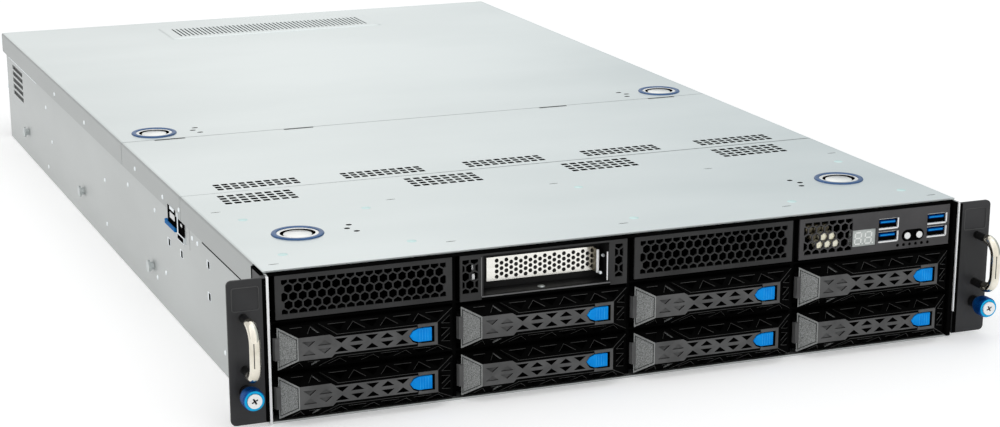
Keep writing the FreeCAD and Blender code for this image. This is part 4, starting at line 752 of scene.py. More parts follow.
knurl = knurl_tree()
for name, side in SIDES:
    knurling = made_by(knurl, mesh_from([(0.0, 0.0, RIB_MIDDLE)]),
                       {"Ribs": RIBS, "Radius": RIB_RADIUS, "Rib": RIB, "Material": knurl_blue_shade})
    # The knob's sides and knurling take a darker blue than its front, as painted shade.
    knob = painted(turned_shape(KNOB, knob_blue, 48), (knob_blue, knurl_blue_shade),
                   lambda place, normal: int(abs(normal.z) < 0.5))
    face = moved(sheet([ring_of(0.0, 0.0, SCREW_FACE, 40), CROSS], 1.0, face_steel), z=FACE_Z)
    # The floor of the driver's cross is painted dark as shade.
    parts = [turned_shape(NECK, black_foot_and_reflection, 32), knob, knurling, face, turned_shape(SHANK, rivet_steel, 32),
             turned_shape(CROSS_FLOOR, black_and_painted_shade, 24)]
    piece(f"{name}_captive_screw", f"{name}_thumbscrew", "blue_anodised",
          *[upright_at(part, side * HANDLE_X, EAR_FACE, SCREW_Z) for part in parts],
          replaces=(f"{name}_thumbscrew",))

# Rail studs. Turned steel studs with wide heads, riveted to the side walls.
# The slide rails of the rack hook over them.
dress(rivet_steel, "rail_studs")

# Drive cage. Black powder-coated sheet that divides the front into four columns and three rows.
# Its coat is matt with a fine grain.
cage_coat = finish("cage_coat", 7, 12, (0.5, 0.62), 30.0, specular=0.0, grain=(0.2, 2600.0))
dress(cage_coat, "drive_cage")

# Bare front edges. The sheared front edges of the walls stay uncoated and show as bright strips by the ears,
# partly as painted highlights.
# Each is hemmed over, so that it stands a little proud of the black lining beside it.
EDGE_STRIPS, EDGE_Y, EDGE_TOP = ((-219.2, -217.7, 0.6), (218.3, 219.3, 16.5)), (-397.45, -395.6), 85.6
# A near-white for bare sheet edges, which also serves as painted highlights on lit edges.
bare_edge_and_highlight = finish("bare_edge_and_highlight", (240, 241, 241), 250, (0.25, 0.35), 60.0, 0.1)
piece("bare_front_edges", "case", "case_metal",
      *[block((low, EDGE_Y[0], base), (high, EDGE_Y[1], EDGE_TOP), bare_edge_and_highlight, 0.2, 2)
        for low, high, base in EDGE_STRIPS])

# Right wall lining. A strip of black-coated sheet that closes the gap between the cage and the right wall.
# It is riveted to the wall behind the bare edge.
LINING_LOW, LINING_HIGH = (215.4, -396.5, 0.8), (218.1, -380.6, 85.8)
piece("right_wall_lining", "case", "black_metal", block(LINING_LOW, LINING_HIGH, cage_coat, 0.1))

# Side vent shade sheets. A thin dark sheet behind the slots near the back of each side wall, as painted
# shade: it hides the board, so that the slots show dark.
WALL_VENT, VENT_SHADE_HALF, VENT_SHADE_SHEET, VENT_SHADE_X = (357.0, 54.1), (24.0, 15.0), 0.6, (-217.65, 217.05)
vent_shade_low, vent_shade_high = ([middle + end * half for middle, half in zip(WALL_VENT, VENT_SHADE_HALF)]
                           for end in (-1, 1))
piece("wall_vent_shade_sheets", "case", "black_metal",
      *[block((low, *vent_shade_low), (low + VENT_SHADE_SHEET, *vent_shade_high), ear_coat) for low in VENT_SHADE_X])

# Vent grilles. Two filler modules of black-coated sheet, pierced with a honeycomb that the frame cuts off.
# Each is a shallow tray with folded returns that slides into the top row of the cage.
PANEL_HALF, PANEL_LOW, SHORT_LOW, PANEL_HIGH = 51.6, 58.1, 59.8, 84.8
FRONT, PANEL_SHEET, PANEL_BACK, PANEL_RETURN = -395.0, 1.2, -379.0, 1.0
HEX_PITCH, HEX_RADIUS, HEX_Z, HEX_SLIVER = 5.5, 4.75 / math.sqrt(3), 72.4, 0.9
WINDOW_LOW, WINDOW_HIGH, WINDOW_HALF = HEX_Z - 9.87, HEX_Z + 9.87, 48.0
panel_coat = finish("panel_coat", 50, 60, (0.45, 0.58), 40.0, specular=0.15, grain=POWDER)


def clipped(points, low, high):
    """A convex outline cut off at a rectangle's sides."""
    for axis, limit, sign in ((0, low[0], 1), (0, high[0], -1), (1, low[1], 1), (1, high[1], -1)):
        kept = []
        for first, second in zip(points, points[1:] + points[:1]):
            near, far = sign * (first[axis] - limit), sign * (second[axis] - limit)
            if near >= 0:
                kept.append(first)
            if near * far < 0:
                share = near / (near - far)
                kept.append(tuple(a + share * (b - a) for a, b in zip(first, second)))
        points = kept
    return points


def honeycomb(centre, low_x, high_x):
    """Whole cells of a honeycomb window as points, and those that its frame cuts off as outlines."""
    whole, cut = [], []
    for row in range(-3, 4):
        for column in range(-20, 21):
            x = centre + (column + 0.5 * ((row + 1) % 2)) * HEX_PITCH
            z = HEX_Z + row * HEX_PITCH * math.sqrt(3) / 2
            cell = ring_of(x, z, HEX_RADIUS, 6, start=math.pi / 6)
            kept = clipped(cell, (low_x, WINDOW_LOW), (high_x, WINDOW_HIGH))
            if len(kept) == 6 and all(math.dist(a, b) < 0.001 for a, b in zip(kept, cell)):
                whole.append((x, z))
            elif len(kept) > 2 and all(max(side) - min(side) > HEX_SLIVER for side in zip(*kept)):
                cut.append(kept)
    return whole, cut


def walls(low, high, front, back, thick, coat, short=0.0):
    """The four sides of a box that is open in front, whose top and bottom may stop short of its sides."""
    (left, base), (right, top) = low, high
    spans = (((left + short, base), (right - short, base + thick)),
             ((left + short, top - thick), (right - short, top)),
             ((left, base), (left + thick, top)), ((right - thick, base), (right, top)))
    return [block((x, front, z), (far_x, back, far_z), coat) for (x, z), (far_x, far_z) in spans]


def module(centre, windows, loops=(), coat=panel_coat, base=SHORT_LOW):
    """A front module: its pierced face, standing up, and its four folded returns."""
    cells, cuts = [], []
    for window in windows:
        whole, cut = honeycomb(*window)
        cells += whole
        cuts += cut
    low, high, start = (centre - PANEL_HALF, base), (centre + PANEL_HALF, PANEL_HIGH), FRONT + PANEL_SHEET
    face = sheet([rectangle(*low, *high), *cuts, *loops], PANEL_SHEET, coat, cells, 6, HEX_RADIUS,
                 turn=math.pi / 6)
    return [upright_at(face, y=start)] + walls(low, high, start, PANEL_BACK, PANEL_RETURN, cage_coat)


grille_parts = [part for centre in (-162.0, 54.0)
                for part in module(centre, [(centre, centre - WINDOW_HALF, centre + WINDOW_HALF)])]
piece("honeycomb_grilles", "case", "black_metal", *grille_parts, replaces=("vent_grilles",))

# Expansion-slot module. A black tray with a deep recess for one card, between two narrow honeycomb strips.
# The recess is a folded box painted darker inside as shade, with a sill in front whose grey is a painted
# highlight, and one bright edge of bare sheet at its right, with a painted highlight.
SLOT_LOW, SLOT_HIGH, SLOT_BACK, SLOT_SHEET = (-91.6, 60.5), (-13.8, 83.8), -380.6, 0.8
sill_highlight_grey = finish("sill_highlight_grey", 104, 122, (0.4, 0.5), 80.0, specular=0.2)
recess_painted_shade = finish("recess_painted_shade", 24, 34, (0.45, 0.58), 40.0, specular=0.15)
recess_low, recess_high = [edge - SLOT_SHEET for edge in SLOT_LOW], [edge + SLOT_SHEET for edge in SLOT_HIGH]
slot_parts = module(-54.0, [(-99.6, -104.2, -94.6), (-4.85, -10.2, -4.9)], [rectangle(*SLOT_LOW, *SLOT_HIGH)],
                    base=PANEL_LOW)
slot_parts += walls(recess_low, recess_high, FRONT + 0.6, SLOT_BACK, SLOT_SHEET, recess_painted_shade, SLOT_SHEET)
SLOT_BLOCKS = (
    (recess_low, recess_high, SLOT_BACK - FRONT - 0.6, SLOT_BACK - FRONT, recess_painted_shade, 0.0),
    ((-14.9, 61.0), (-14.2, 78.0), 0.4, 1.2, bare_edge_and_highlight, 0.15),
    ((-92.6, PANEL_LOW - 0.1), (-13.0, SLOT_LOW[1] - 0.02), -0.15, 0.4, cage_coat, 0.0),
    ((-92.6, 59.4), (-13.0, 60.2), -0.35, 0.2, sill_highlight_grey, 0.1),
    ((-93.0, 60.2), (-92.5, 83.0), -0.2, 0.2, sill_highlight_grey, 0.05),
    ((-97.8, 69.8), (-96.0, 73.2), 1.8, 2.6, bare_edge_and_highlight, 0.2),
    ((-97.8, 75.4), (-96.0, 78.8), 1.8, 2.6, bare_edge_and_highlight, 0.2))
SCREW_Y, FLOOR_SCREW, SIDE_SCREWS = FRONT + 5.0, (-54.0, SLOT_LOW[1] - 0.1), ((-17.2, 64.9), (-15.6, 75.0))
slot_parts += [block((low[0], FRONT + near, low[1]), (high[0], FRONT + far, high[1]), coat, ease)
               for low, high, near, far, coat, ease in SLOT_BLOCKS]
slot_parts += [heads([(FLOOR_SCREW[0], SCREW_Y, FLOOR_SCREW[1])], (0, 0, 1), 2.4, 0.5, 20, rivet_steel),
               heads([(x, SCREW_Y, z) for x, z in SIDE_SCREWS], (0, -1, 0), 1.1, 0.9, 16, pale_rivet_and_highlight)]
piece("slot_module", "case", "black_metal", *slot_parts, replaces=("slot_panel",))

# Card bracket. Bare bright steel, pierced with staggered rows of round holes and folded forward at its right.
# The side of the fold is painted in shade, and its front edge is bare and bright, with a painted highlight.
BRACKET_LEFT, BRACKET_RIGHT, BRACKET_LOW, BRACKET_HIGH, BRACKET_Y = -84.6, -18.4, 64.45, 78.45, -381.2
HOLE_START, HOLE_COLUMNS, HOLE_PITCH, HOLE_RADIUS = -78.4, 21, (2.98, 3.2), 1.25
bracket_steel = finish("bracket_steel", (242, 240, 232), (250, 248, 242), (0.2, 0.28), 60.0, 0.85,
                       stretch=(1.0, 1.0, 6.0))
bracket_shade = finish("bracket_shade", (116, 108, 92), (138, 130, 112), (0.3, 0.4), 90.0, 0.6)
bracket_holes = [hole for column in range(HOLE_COLUMNS)
                 for hole in grid(HOLE_START + HOLE_PITCH[0] * column, (BRACKET_LOW + BRACKET_HIGH) / 2, 1,
                                  4 - column % 2, 0.0, HOLE_PITCH[1])]
bracket_plate = sheet([rectangle(BRACKET_LEFT, BRACKET_LOW, BRACKET_RIGHT, BRACKET_HIGH)], 1.0, bracket_steel,
                      bracket_holes, 12, HOLE_RADIUS, turn=0.0)
bracket_parts = [upright_at(bracket_plate, y=BRACKET_Y)]
for left, right, front, back, coat, ease in ((-0.4, 0.6, -388.6, BRACKET_Y, bracket_shade, 0.25),
                                             (-0.8, 0.8, -389.4, -388.5, bare_edge_and_highlight, 0.2)):
    bracket_parts.append(block((BRACKET_RIGHT + left, front, BRACKET_LOW),
                               (BRACKET_RIGHT + right, back, BRACKET_HIGH), coat, ease, 2))
piece("card_bracket", "case", "bracket_steel", *bracket_parts, replaces=("slot_bracket",))

# Control module. A black tray pierced for four ports, a display, two buttons and a row of status lights.
# Part of its honeycomb shows brass standoffs, which carry the small board behind it. The deeper ones take
# a darker copy of the brass as painted shade.
IO_X, IO_WINDOW = 162.0, (124.45, 113.2, 146.4)
USB_PLACES = [(x, z) for x in (171.0, 204.8) for z in (68.6, 76.7)]
USB_WIDE, USB_TALL, USB_ROOM = 13.4, 6.2, 0.1
DISPLAY, DISPLAY_WINDOW, LENS_HOLE = (154.6, 69.25), (16.1, 10.5), (1.0, 16)
BUTTON_GROOVE, GROOVE_FLOOR, FLOOR_SHEET, FLOOR_DEEP, CAP_HOLE = (15.6, 7.4), (16.4, 8.2), 0.8, 2.0, (2.9, 32)
BUTTONS = {"power": (184.2, 67.8), "locate": (192.5, 67.8)}
LIGHTS = [(199.0 - 4.2 * step, 62.3) for step in range(6)]
STANDOFF = [(0.0, 0.0), (2.6, 0.0), (2.6, 4.6), (2.3, 4.9), (0.0, 4.9)]
STANDOFFS = [(127.2, 72.4), (132.7, 72.4), (124.45, 67.64), (129.95, 67.64), (135.45, 67.64)]
DIM_STANDOFFS = [(118.95, 77.16), (124.45, 77.16), (129.95, 77.16), (121.7, 72.4)]
STANDOFF_Y, DIM_STANDOFF_Y = -388.6, -386.0
standoff_brass = finish("standoff_brass", (246, 240, 212), (252, 249, 232), (0.25, 0.35), 200.0, 0.3)
standoff_brass_shade = finish("standoff_brass_shade", (92, 84, 66), (118, 110, 88), (0.3, 0.4), 200.0, 0.3)
control_coat = finish("control_coat", (66, 65, 66), (78, 77, 78), (0.42, 0.55), 40.0, specular=0.2,
                      grain=POWDER)


def around(x, z, wide, tall):
    return rectangle(x - wide / 2, z - tall / 2, x + wide / 2, z + tall / 2)


def stadium(x, z, wide, tall):
    """A rectangle with round ends."""
    radius, reach = tall / 2, (wide - tall) / 2
    turns = [math.radians(-90.0 + 15.0 * step) for step in range(13)]
    right = [(x + reach + radius * math.cos(a), z + radius * math.sin(a)) for a in turns]
    return right + [(2 * x - px, 2 * z - pz) for px, pz in right]


groove = [sum(middle) / 2 for middle in zip(*BUTTONS.values())]
io_loops = [around(x, z, USB_WIDE + USB_ROOM, USB_TALL + USB_ROOM) for x, z in USB_PLACES]
io_loops += [around(*DISPLAY, *DISPLAY_WINDOW), stadium(*groove, *BUTTON_GROOVE)]
io_loops += rings_at(LIGHTS, *LENS_HOLE)
floor_loops = [stadium(*groove, *GROOVE_FLOOR)] + rings_at(BUTTONS.values(), *CAP_HOLE)
groove_floor = sheet(floor_loops, FLOOR_SHEET, cage_coat)
piece("control_module", "case", "black_metal", *module(IO_X, [IO_WINDOW], io_loops, control_coat),
      upright_at(groove_floor, y=FRONT + FLOOR_DEEP), replaces=("io_panel",))
piece("board_standoffs", "case", "bracket_steel",
      *[upright_at(turned_shape(STANDOFF, material, 6), x, y, z) for places, material, y in
        ((STANDOFFS, standoff_brass, STANDOFF_Y), (DIM_STANDOFFS, standoff_brass_shade, DIM_STANDOFF_Y))
        for x, z in places])

# Ports. Four bent steel shells with a blue moulded tongue in the upper half of each.
# The mouth of each shell stands a little behind the panel, and its inside is painted dark as shade. A bright
# L at the bottom and right of each mouth and a lit line on each tongue are painted highlights.
shell_steel = finish("shell_steel", (198, 200, 203), (220, 222, 224), (0.2, 0.3), 200.0, 1.0)
tongue_blue = finish("tongue_blue", (0, 62, 138), (0, 76, 156), (0.4, 0.5), 240.0, specular=0.05)
tongue_lit = finish("tongue_lit", (14, 142, 226), (26, 156, 236), (0.4, 0.5), 240.0, specular=0.05)
PORT_BLOCKS = (((-5.3, 0.8, -0.1), (5.3, 10.0, 1.7), tongue_blue, 0.2),
               ((-4.9, 0.65, 0.45), (4.9, 1.0, 1.2), tongue_lit, 0.05),
               ((-6.6, -0.2, -3.6), (7.1, 0.9, -2.75), bare_edge_and_highlight, 0.1),
               ((6.35, -0.2, -3.6), (7.1, 0.9, 3.0), bare_edge_and_highlight, 0.1),
               ((-6.25, 3.6, -2.65), (6.25, 10.6, 2.65), black_and_painted_shade, 0.0))
SHELL_WALLS, SHELL_LONG, SHELL_BACK = 0.9, 9.6, 10.7
port_parts = []
for x, z in USB_PLACES:
    mouth = [around(x, z, USB_WIDE - trim, USB_TALL - trim) for trim in (0.0, SHELL_WALLS)]
    port_parts.append(upright_at(sheet(mouth, SHELL_LONG, shell_steel), y=FRONT + SHELL_BACK))
    port_parts += [moved(block(*shape), x, FRONT, z) for shape in PORT_BLOCKS]
piece("port_shells", "case", "stud_steel", *port_parts, replaces=("usb_ports",))

# Display and status lights. A pale grey display with two seven-bar digits sits in its window.
# Six smoked lenses stand in a row below the ports.
DIGIT_WIDE, DIGIT_TALL, DIGIT_BAR, DIGIT_LEAN, DIGIT_PLACES = 4.2, 7.0, 0.85, 0.08, (-4.1, 2.9)
SCREEN_LOW, SCREEN_HIGH, DIGIT_RISE = (-8.0, 0.5, -5.2), (8.0, 5.0, 5.2), 0.2
LENS_DEEP, LENS = 0.3, (0.95, 0.4, 14)
display_face = finish("display_face", (176, 182, 179), (194, 199, 196), (0.25, 0.35), 120.0)
digit_white = finish("digit_white", (230, 233, 230), (244, 246, 243), (0.3, 0.4), 200.0)
bars = [(0.0, level * DIGIT_TALL / 2, DIGIT_WIDE - 1.0, DIGIT_BAR) for level in (-1, 0, 1)]
bars += [(side * DIGIT_WIDE / 2, level * DIGIT_TALL / 4, DIGIT_BAR, DIGIT_TALL / 2 - 1.0)
         for side in (-1, 1) for level in (-1, 1)]
bars += [(DIGIT_WIDE / 2 + 1.2, -DIGIT_TALL / 2, 0.8, 0.8)]
digit_loops = [[(DISPLAY[0] + digit + x + DIGIT_LEAN * z, DISPLAY[1] + z) for x, z in around(*bar)]
               for digit in DIGIT_PLACES for bar in bars]
screen = block(SCREEN_LOW, SCREEN_HIGH, display_face, 0.3, 2)
light_parts = [moved(screen, DISPLAY[0], FRONT, DISPLAY[1]),
               upright_at(sheet(digit_loops, DIGIT_RISE, digit_white), y=FRONT + SCREEN_LOW[1]),
               heads([(x, FRONT + LENS_DEEP, z) for x, z in LIGHTS], (0, -1, 0), *LENS, black_and_painted_shade)]
piece("display_and_lenses", "case", "display_grey", *light_parts, replaces=("status_lights",))

# Push buttons. Two round bright caps in one shallow groove, each on its own spring.
# Their tops are turned with a soft edge and a slight dish.
BUTTON_SKIRT = [(0.0, -3.4), (2.6, -3.4), (2.6, 0.3), (2.4, 0.5), (0.0, 0.5)]
BUTTON_TOP = [(0.0, 0.4), (2.1, 0.4), (2.1, 0.8), (1.95, 1.0), (1.7, 1.1), (1.2, 1.05), (0.0, 1.0)]
cap_white = finish("cap_white", (236, 237, 236), (246, 247, 246), (0.22, 0.32), 250.0, 0.1)
for name, (x, z) in BUTTONS.items():
    parts = [turned_shape(BUTTON_SKIRT, black_and_painted_shade, 32), turned_shape(BUTTON_TOP, cap_white, 32)]
    piece(f"{name}_button_cap", f"{name}_button", "button_grey",
          *[upright_at(part, x, FRONT, z) for part in parts], replaces=(f"{name}_button",))

# Drive trays. A black moulded bezel like a low pyramid, with rows of triangular pockets in its slopes.
# Behind it two rails and a back bar hold the bare metal drive.
TRAY_PLACES = {row * 4 + column + 1: (-162.0 + 108.0 * column, 14.85 + 28.3 * row)
               for row in range(2) for column in range(4)}
BEZEL_RISE, BEZEL_HALF, BEZEL_TALL = 9.5, 51.5, 12.5
FACE_LOW, FACE_HIGH, FACE_RIGHT, FACE_LEFT, FRAME_LEFT = -5.2, 8.0, 39.2, -20.0, 27.4
DRIVE_START, DRIVE_END, DRIVE_HALF = 9.9, 154.0, 50.85
POCKET, POCKET_SPAN, PROUD = 0.9, (0.24, 0.82), 0.4
POCKET_PLACES, POCKET_WIDE = [-17.5 + 9.6 * step for step in range(7)], 10.2
SIDE_POCKETS = ((6.4, 4.6, 0.82, 0.25), (1.2, 4.8, 0.25, 0.82), (-4.2, 4.6, 0.82, 0.25))
RIB_WIDE, RIB_HIGH = 0.3, 0.12
# The pockets are painted darker inside as shade, and grey ribs along their lit edges and the bezel's edges
# are painted highlights.
tray_black = finish("tray_black", 8, 12, (0.42, 0.55), 60.0, specular=0.0, grain=(0.15, 3000.0))
pocket_painted_shade = finish("pocket_painted_shade", 2, 5, (0.6, 0.7), 60.0, specular=0.0)
rib_highlight_grey = finish("rib_highlight_grey", (60, 60, 59), (74, 74, 73), (0.4, 0.5), 90.0, specular=0.2)
lever_grey = finish("lever_grey", 78, 92, (0.42, 0.52), 90.0, specular=0.2, grain=(0.2, 3000.0))
drive_metal = finish("drive_metal", (168, 170, 172), (190, 192, 194), (0.35, 0.5), 30.0, 0.9,
                     stretch=(1.0, 6.0, 1.0))


def at_bay(node, material, width=0.0):
    """A copy of a node of the first tray, with the middle of its bay's front at the origin."""
    x, z = TRAY_PLACES[1]
    return moved(eased(node, material, width), -x, -FRONT, -z)


def pockets(shapes):
    """Closed prisms that stand through a surface, each given by its corners and the surface's direction."""
    work = bmesh.new()
    for corners, direction in shapes:
        out = Vector(direction).normalized()
        top = [work.verts.new(Vector(corner) + PROUD * out) for corner in corners]
        floor = [work.verts.new(Vector(corner) - POCKET * out) for corner in corners]
        work.faces.new(top)
        work.faces.new(floor)
        for step in range(len(corners)):
            work.faces.new((top[step - 1], top[step], floor[step], floor[step - 1]))
    bmesh.ops.recalc_face_normals(work, faces=work.faces[:])
    return mesh_of(work)


def carved(mesh, tool):
    """The first mesh with the second one cut out of it."""
    base, cutter = placed("base", mesh), placed("cutter", tool)
    step = base.modifiers.new("carve", "BOOLEAN")
    step.object, step.operation, step.solver = cutter, "DIFFERENCE", "EXACT"
    plain = evaluated(base, step)
    dropped(cutter)
    return plain


def slope_row(centres, width, edge, span):
    """A row of triangles on the upper or lower slope, pointing up and down by turns."""
    shapes = []
    fall = math.copysign(BEZEL_TALL, edge) - edge
    out = (0.0, -abs(fall), math.copysign(BEZEL_RISE, edge))
    for index, centre in enumerate(centres):
        base, tip = span if index % 2 else reversed(span)
        corners = [(centre + way * width / 2, -BEZEL_RISE * (1 - along), edge + fall * along)
                   for way, along in ((-1, base), (1, base), (0, tip))]
        shapes.append((corners, out))
    return shapes


def ribs(lines, material, width=RIB_WIDE, rise=RIB_HIGH):
    """Low straight ribs on a surface, each given by its two ends and the surface's direction."""
    corners, faces = [], []
    for start, end, direction in lines:
        start, end, out = Vector(start), Vector(end), Vector(direction).normalized()
        along = (end - start).normalized()
        beside = along.cross(out) * width / 2
        first = len(corners)
        for place in (start - along * width / 2, end + along * width / 2):
            corners += [place - beside - out * rise, place + beside - out * rise,
                        place + beside * 0.5 + out * rise, place - beside * 0.5 + out * rise]
        faces += [[first + step for step in face] for face in
                  ((0, 1, 2, 3), (7, 6, 5, 4), (0, 4, 5, 1), (1, 5, 6, 2), (2, 6, 7, 3), (3, 7, 4, 0))]
    mesh = bpy.data.meshes.new("ribs")
    mesh.from_pydata(corners, [], faces)
    mesh.materials.append(material)
    return mesh


def rims(shapes):
    """The lit edges of pockets: both slanting sides of those that point up, and the base of the others."""
    lines = []
    for (left, right, tip), out in shapes:
        lines += [(left, tip, out), (tip, right, out)] if tip[2] > left[2] else [(left, right, out)]
    return lines


def sunk(place):
    """Whether a place lies below the bezel's slopes, inside one of their pockets."""
    for axis, edge, foot in ((2, FACE_HIGH, BEZEL_TALL), (2, FACE_LOW, -BEZEL_TALL),
                             (0, FACE_RIGHT, BEZEL_HALF)):
        beyond = math.copysign(1.0, foot) * (place[axis] - edge)
        if beyond > 0.0:
            return place.y < 0.5 and (place.y + BEZEL_RISE) * abs(foot - edge) - beyond * BEZEL_RISE > 2.0
    return False


def tray_finish(place, normal):
    if DRIVE_START < place.y < DRIVE_END and abs(place.x) < DRIVE_HALF and normal.y > -0.5:
        return 2
    if sunk(place):
        return 3
    return 1 if normal.y < -0.95 and place.y < 0.2 - BEZEL_RISE and place.x > FRAME_LEFT else 0


def on_trays(label, body, slot, *forms, smooth=32.0):
    """The same piece on each tray's place, from forms made about the middle of a bay's front."""
    for number, (x, z) in TRAY_PLACES.items():
        parts = [moved(form.copy(), x, FRONT, z) for form in forms]
        piece(label.format(number), f"{body}_{number}", slot, *parts, replaces=(f"{body}_{number}",),
              smooth=smooth)
    for form in forms:
        bpy.data.meshes.remove(form)


tray_slots = [shape for edge in (FACE_HIGH, FACE_LOW)
              for shape in slope_row(POCKET_PLACES, POCKET_WIDE, edge, POCKET_SPAN)]
for level, tall, base, tip in SIDE_POCKETS:
    corners = [(FACE_RIGHT + (BEZEL_HALF - FACE_RIGHT) * along, -BEZEL_RISE * (1 - along),
                level + way * tall / 2) for way, along in ((-1, base), (1, base), (0, tip))]
    tray_slots.append((corners, (BEZEL_RISE, -(BEZEL_HALF - FACE_RIGHT), 0.0)))
tray_form = carved(at_bay("drive_tray_1", tray_black), pockets(tray_slots))
with editing(tray_form) as sliced:
    slice_at(sliced, (FRAME_LEFT, 0, 0), (1, 0, 0))
tray_form = painted(tray_form, (tray_black, lever_grey, drive_metal, pocket_painted_shade), tray_finish)
bezel_lines = []
for side, edge in ((1, FACE_HIGH), (-1, FACE_LOW)):
    inner, outer = edge - side * 0.2, side * BEZEL_TALL
    bezel_lines += [
        ((FACE_LEFT, -BEZEL_RISE, inner), (FACE_RIGHT, -BEZEL_RISE, inner), (0.0, -1.0, 0.2 * side)),
        ((FACE_RIGHT, -BEZEL_RISE, edge), (BEZEL_HALF - 0.4, -0.3, outer - side * 0.2),
         (1.0, -1.0, 0.5 * side)),
        ((-27.5, -0.6, outer - side * 0.4), (FACE_LEFT, -BEZEL_RISE, edge),
         (0.0, -abs(outer - edge), side * BEZEL_RISE))]
on_trays("tray_{}_with_drive", "drive_tray", "tray_plastic", tray_form,
         ribs(rims(tray_slots) + bezel_lines, rib_highlight_grey), smooth=20.0)

# Release levers. A moulded grey bar pierced with triangles, on a broad left end that swings on a barrel.
# The end's own slopes are black, and its left slope is a coarse speckled grip.
BAR_LIFT, BAR_RIM_IN, BAR_RIM_OUT, BAR_POCKET, BAR_PLACES = 1.4, 1.0, 3.9, 7.6, (-39.8, -30.7)
END_PLACES, END_WIDE, END_SPAN, GRIP_RIB = (-41.0, -32.6), 6.8, (0.24, 0.8), 0.5
HINGE_END, POCKETS_LEFT, POCKETS_RIGHT = -50.9, -41.0, -22.0
GRIP = [Vector(corner) for corner in ((-51.3, -0.2, -12.2), (-42.1, -9.4, -5.1), (-42.1, -9.4, 7.9),
                                      (-51.3, -0.2, 12.2))]
GRIP_OUT = (-9.5, -9.5, 0.0)
# Painted shade on the walls of the bar's pockets, and a painted highlight on the rim round the grip.
lever_shade = finish("lever_shade", 10, 16, (0.5, 0.6), 90.0, specular=0.06)
grip_rim_highlight = finish("grip_rim_highlight", (146, 148, 147), (170, 172, 171), (0.4, 0.5), 90.0, specular=0.2)
lever_speckle = finish("lever_speckle", (104, 106, 105), (164, 166, 165), (0.5, 0.65), 1700.0, specular=0.2,
                       grain=(0.5, 2200.0))
bar_pockets = []
for low, base, tip in zip(BAR_PLACES, (BAR_RIM_OUT, BAR_RIM_IN), (BAR_RIM_IN, BAR_RIM_OUT)):
    for side in (-1, 1):
        corners = [(low + BAR_POCKET * share, -BEZEL_RISE, BAR_LIFT + side * rim)
                   for share, rim in ((0.0, base), (1.0, base), (0.5, tip))]
        bar_pockets.append((corners, (0.0, -1.0, 0.0)))
end_pockets = [shape for edge in (FACE_HIGH, FACE_LOW)
               for shape in slope_row(END_PLACES, END_WIDE, edge, END_SPAN)]


def lever_finish(place, normal):
    if place.x < HINGE_END or (normal.y < -0.8 and place.y < 0.5 - BEZEL_RISE):
        return 1
    if (place.y < 1.3 - BEZEL_RISE and FACE_LOW < place.z < FACE_HIGH
            and POCKETS_LEFT < place.x < POCKETS_RIGHT):
        return 1 if normal.y < -0.8 else 3
    return 2 if normal.x < -0.6 and normal.y < -0.3 else 0


def grip_border(share, rise, material):
    """A fine rib round the grip, drawn in toward its middle."""
    middle = sum(GRIP, Vector()) / len(GRIP)
    loop = [middle + (corner - middle) * share for corner in GRIP]
    lines = [(first, second, GRIP_OUT) for first, second in zip(loop, loop[1:] + loop[:1])]
    return ribs(lines, material, GRIP_RIB, rise)


lever_form = painted(carved(at_bay("tray_lever_1", tray_black), pockets(bar_pockets + end_pockets)),
                     (tray_black, lever_grey, lever_speckle, lever_shade), lever_finish)
on_trays("lever_{}_moulding", "tray_lever", "lever_plastic", lever_form, ribs(rims(end_pockets), rib_highlight_grey),
         grip_border(0.98, 0.12, grip_rim_highlight), grip_border(0.86, 0.1, tray_black), smooth=20.0)

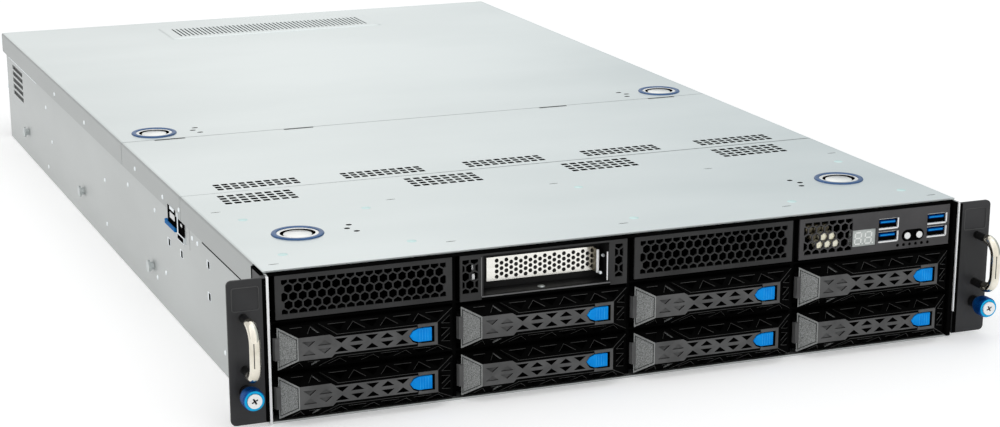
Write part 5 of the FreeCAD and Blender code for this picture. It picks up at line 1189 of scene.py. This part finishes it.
# Thumb catches. Bright blue moulded sliders with a blunt pointed nose, one at the free end of each lever.
# Their edges are well rounded, and a few low ribs across the middle give the thumb a hold; their lighter
# blue is a painted highlight.
CATCH_NOSE, CATCH_TRIM, CATCH_SHRINK, CATCH_RIBS, CATCH_RIB = 23.0, 0.98, 0.9, (28.6, 30.2, 31.8, 33.4), 3.0
catch_blue = finish("catch_blue", (0, 136, 226), (2, 148, 236), (0.34, 0.42), 180.0, specular=0.1)
catch_rib_highlight = finish("catch_rib_highlight", (40, 164, 242), (60, 178, 248), (0.34, 0.42), 180.0, specular=0.1)
catch_form = moved(at_bay("tray_latch_1", catch_blue, 0.35), -CATCH_NOSE, z=-BAR_LIFT)
catch_form.transform(Matrix.Diagonal((CATCH_TRIM, 1.0, CATCH_SHRINK, 1.0)))
moved(catch_form, CATCH_NOSE, z=BAR_LIFT)
catch_hold = ribs([((x, -BEZEL_RISE, BAR_LIFT - CATCH_RIB), (x, -BEZEL_RISE, BAR_LIFT + CATCH_RIB),
                    (0.0, -1.0, 0.0)) for x in CATCH_RIBS], catch_rib_highlight, 0.35)
on_trays("catch_{}_slider", "tray_latch", "catch_blue", catch_form, catch_hold)

# Inside the case. Boards of green laminate, black moulded fan housings with their rotors behind the drives,
# and extruded aluminium heat sinks that are screwed down on the board.
board_green = finish("board_green", (10, 58, 40), (18, 76, 52), (0.35, 0.5), 70.0, grain=(0.3, 700.0))
fan_plastic = finish("fan_plastic", (20, 20, 21), (30, 30, 31), (0.4, 0.55), 60.0, specular=0.3)
fin_metal = finish("fin_metal", (176, 179, 181), (202, 205, 207), (0.3, 0.4), 50.0, 0.95,
                   stretch=(1.0, 8.0, 1.0))
dress(board_green, "drive_backplane", "motherboard")
dress(fan_plastic, "fan_frames", *[f"fan_rotor_{number}" for number in range(1, 6)])
dress(fin_metal, "cpu_heatsinks")

# Power supplies. Two closed steel boxes beside the board, one above the other, pulled out at the back.
# Each has a black mains inlet, a black handle and, behind the handle, an outlet of round holes drawn as dark
# discs of painted shade.
SUPPLY_BACK, INLET_START, OUTLET_X = 396.0, 370.0, -193.5
OUTLET_HOLES, OUTLET_HOLE = (8, 9, 3.4, 3.4), (1.2, 0.15, 10)
supply_metal = finish("supply_metal", (150, 153, 154), (172, 175, 176), (0.38, 0.48), 14.0, 0.9, grain=ROLLED)


def supply_finish(place, normal):
    return int(place.y > INLET_START and abs(place.y - SUPPLY_BACK) > 0.1)


for name in ("lower_power_supply", "upper_power_supply"):
    box = eased(name, supply_metal)
    heights = [corner.co.z for corner in box.vertices]
    holes = grid(OUTLET_X, (min(heights) + max(heights)) / 2, *OUTLET_HOLES)
    piece(f"{name}_case", name, "case_metal", painted(box, (supply_metal, black_and_painted_shade), supply_finish),
          heads([(x, SUPPLY_BACK, z) for x, z in holes], (0, 1, 0), *OUTLET_HOLE, black_and_painted_shade),
          replaces=(name,), smooth=20.0)
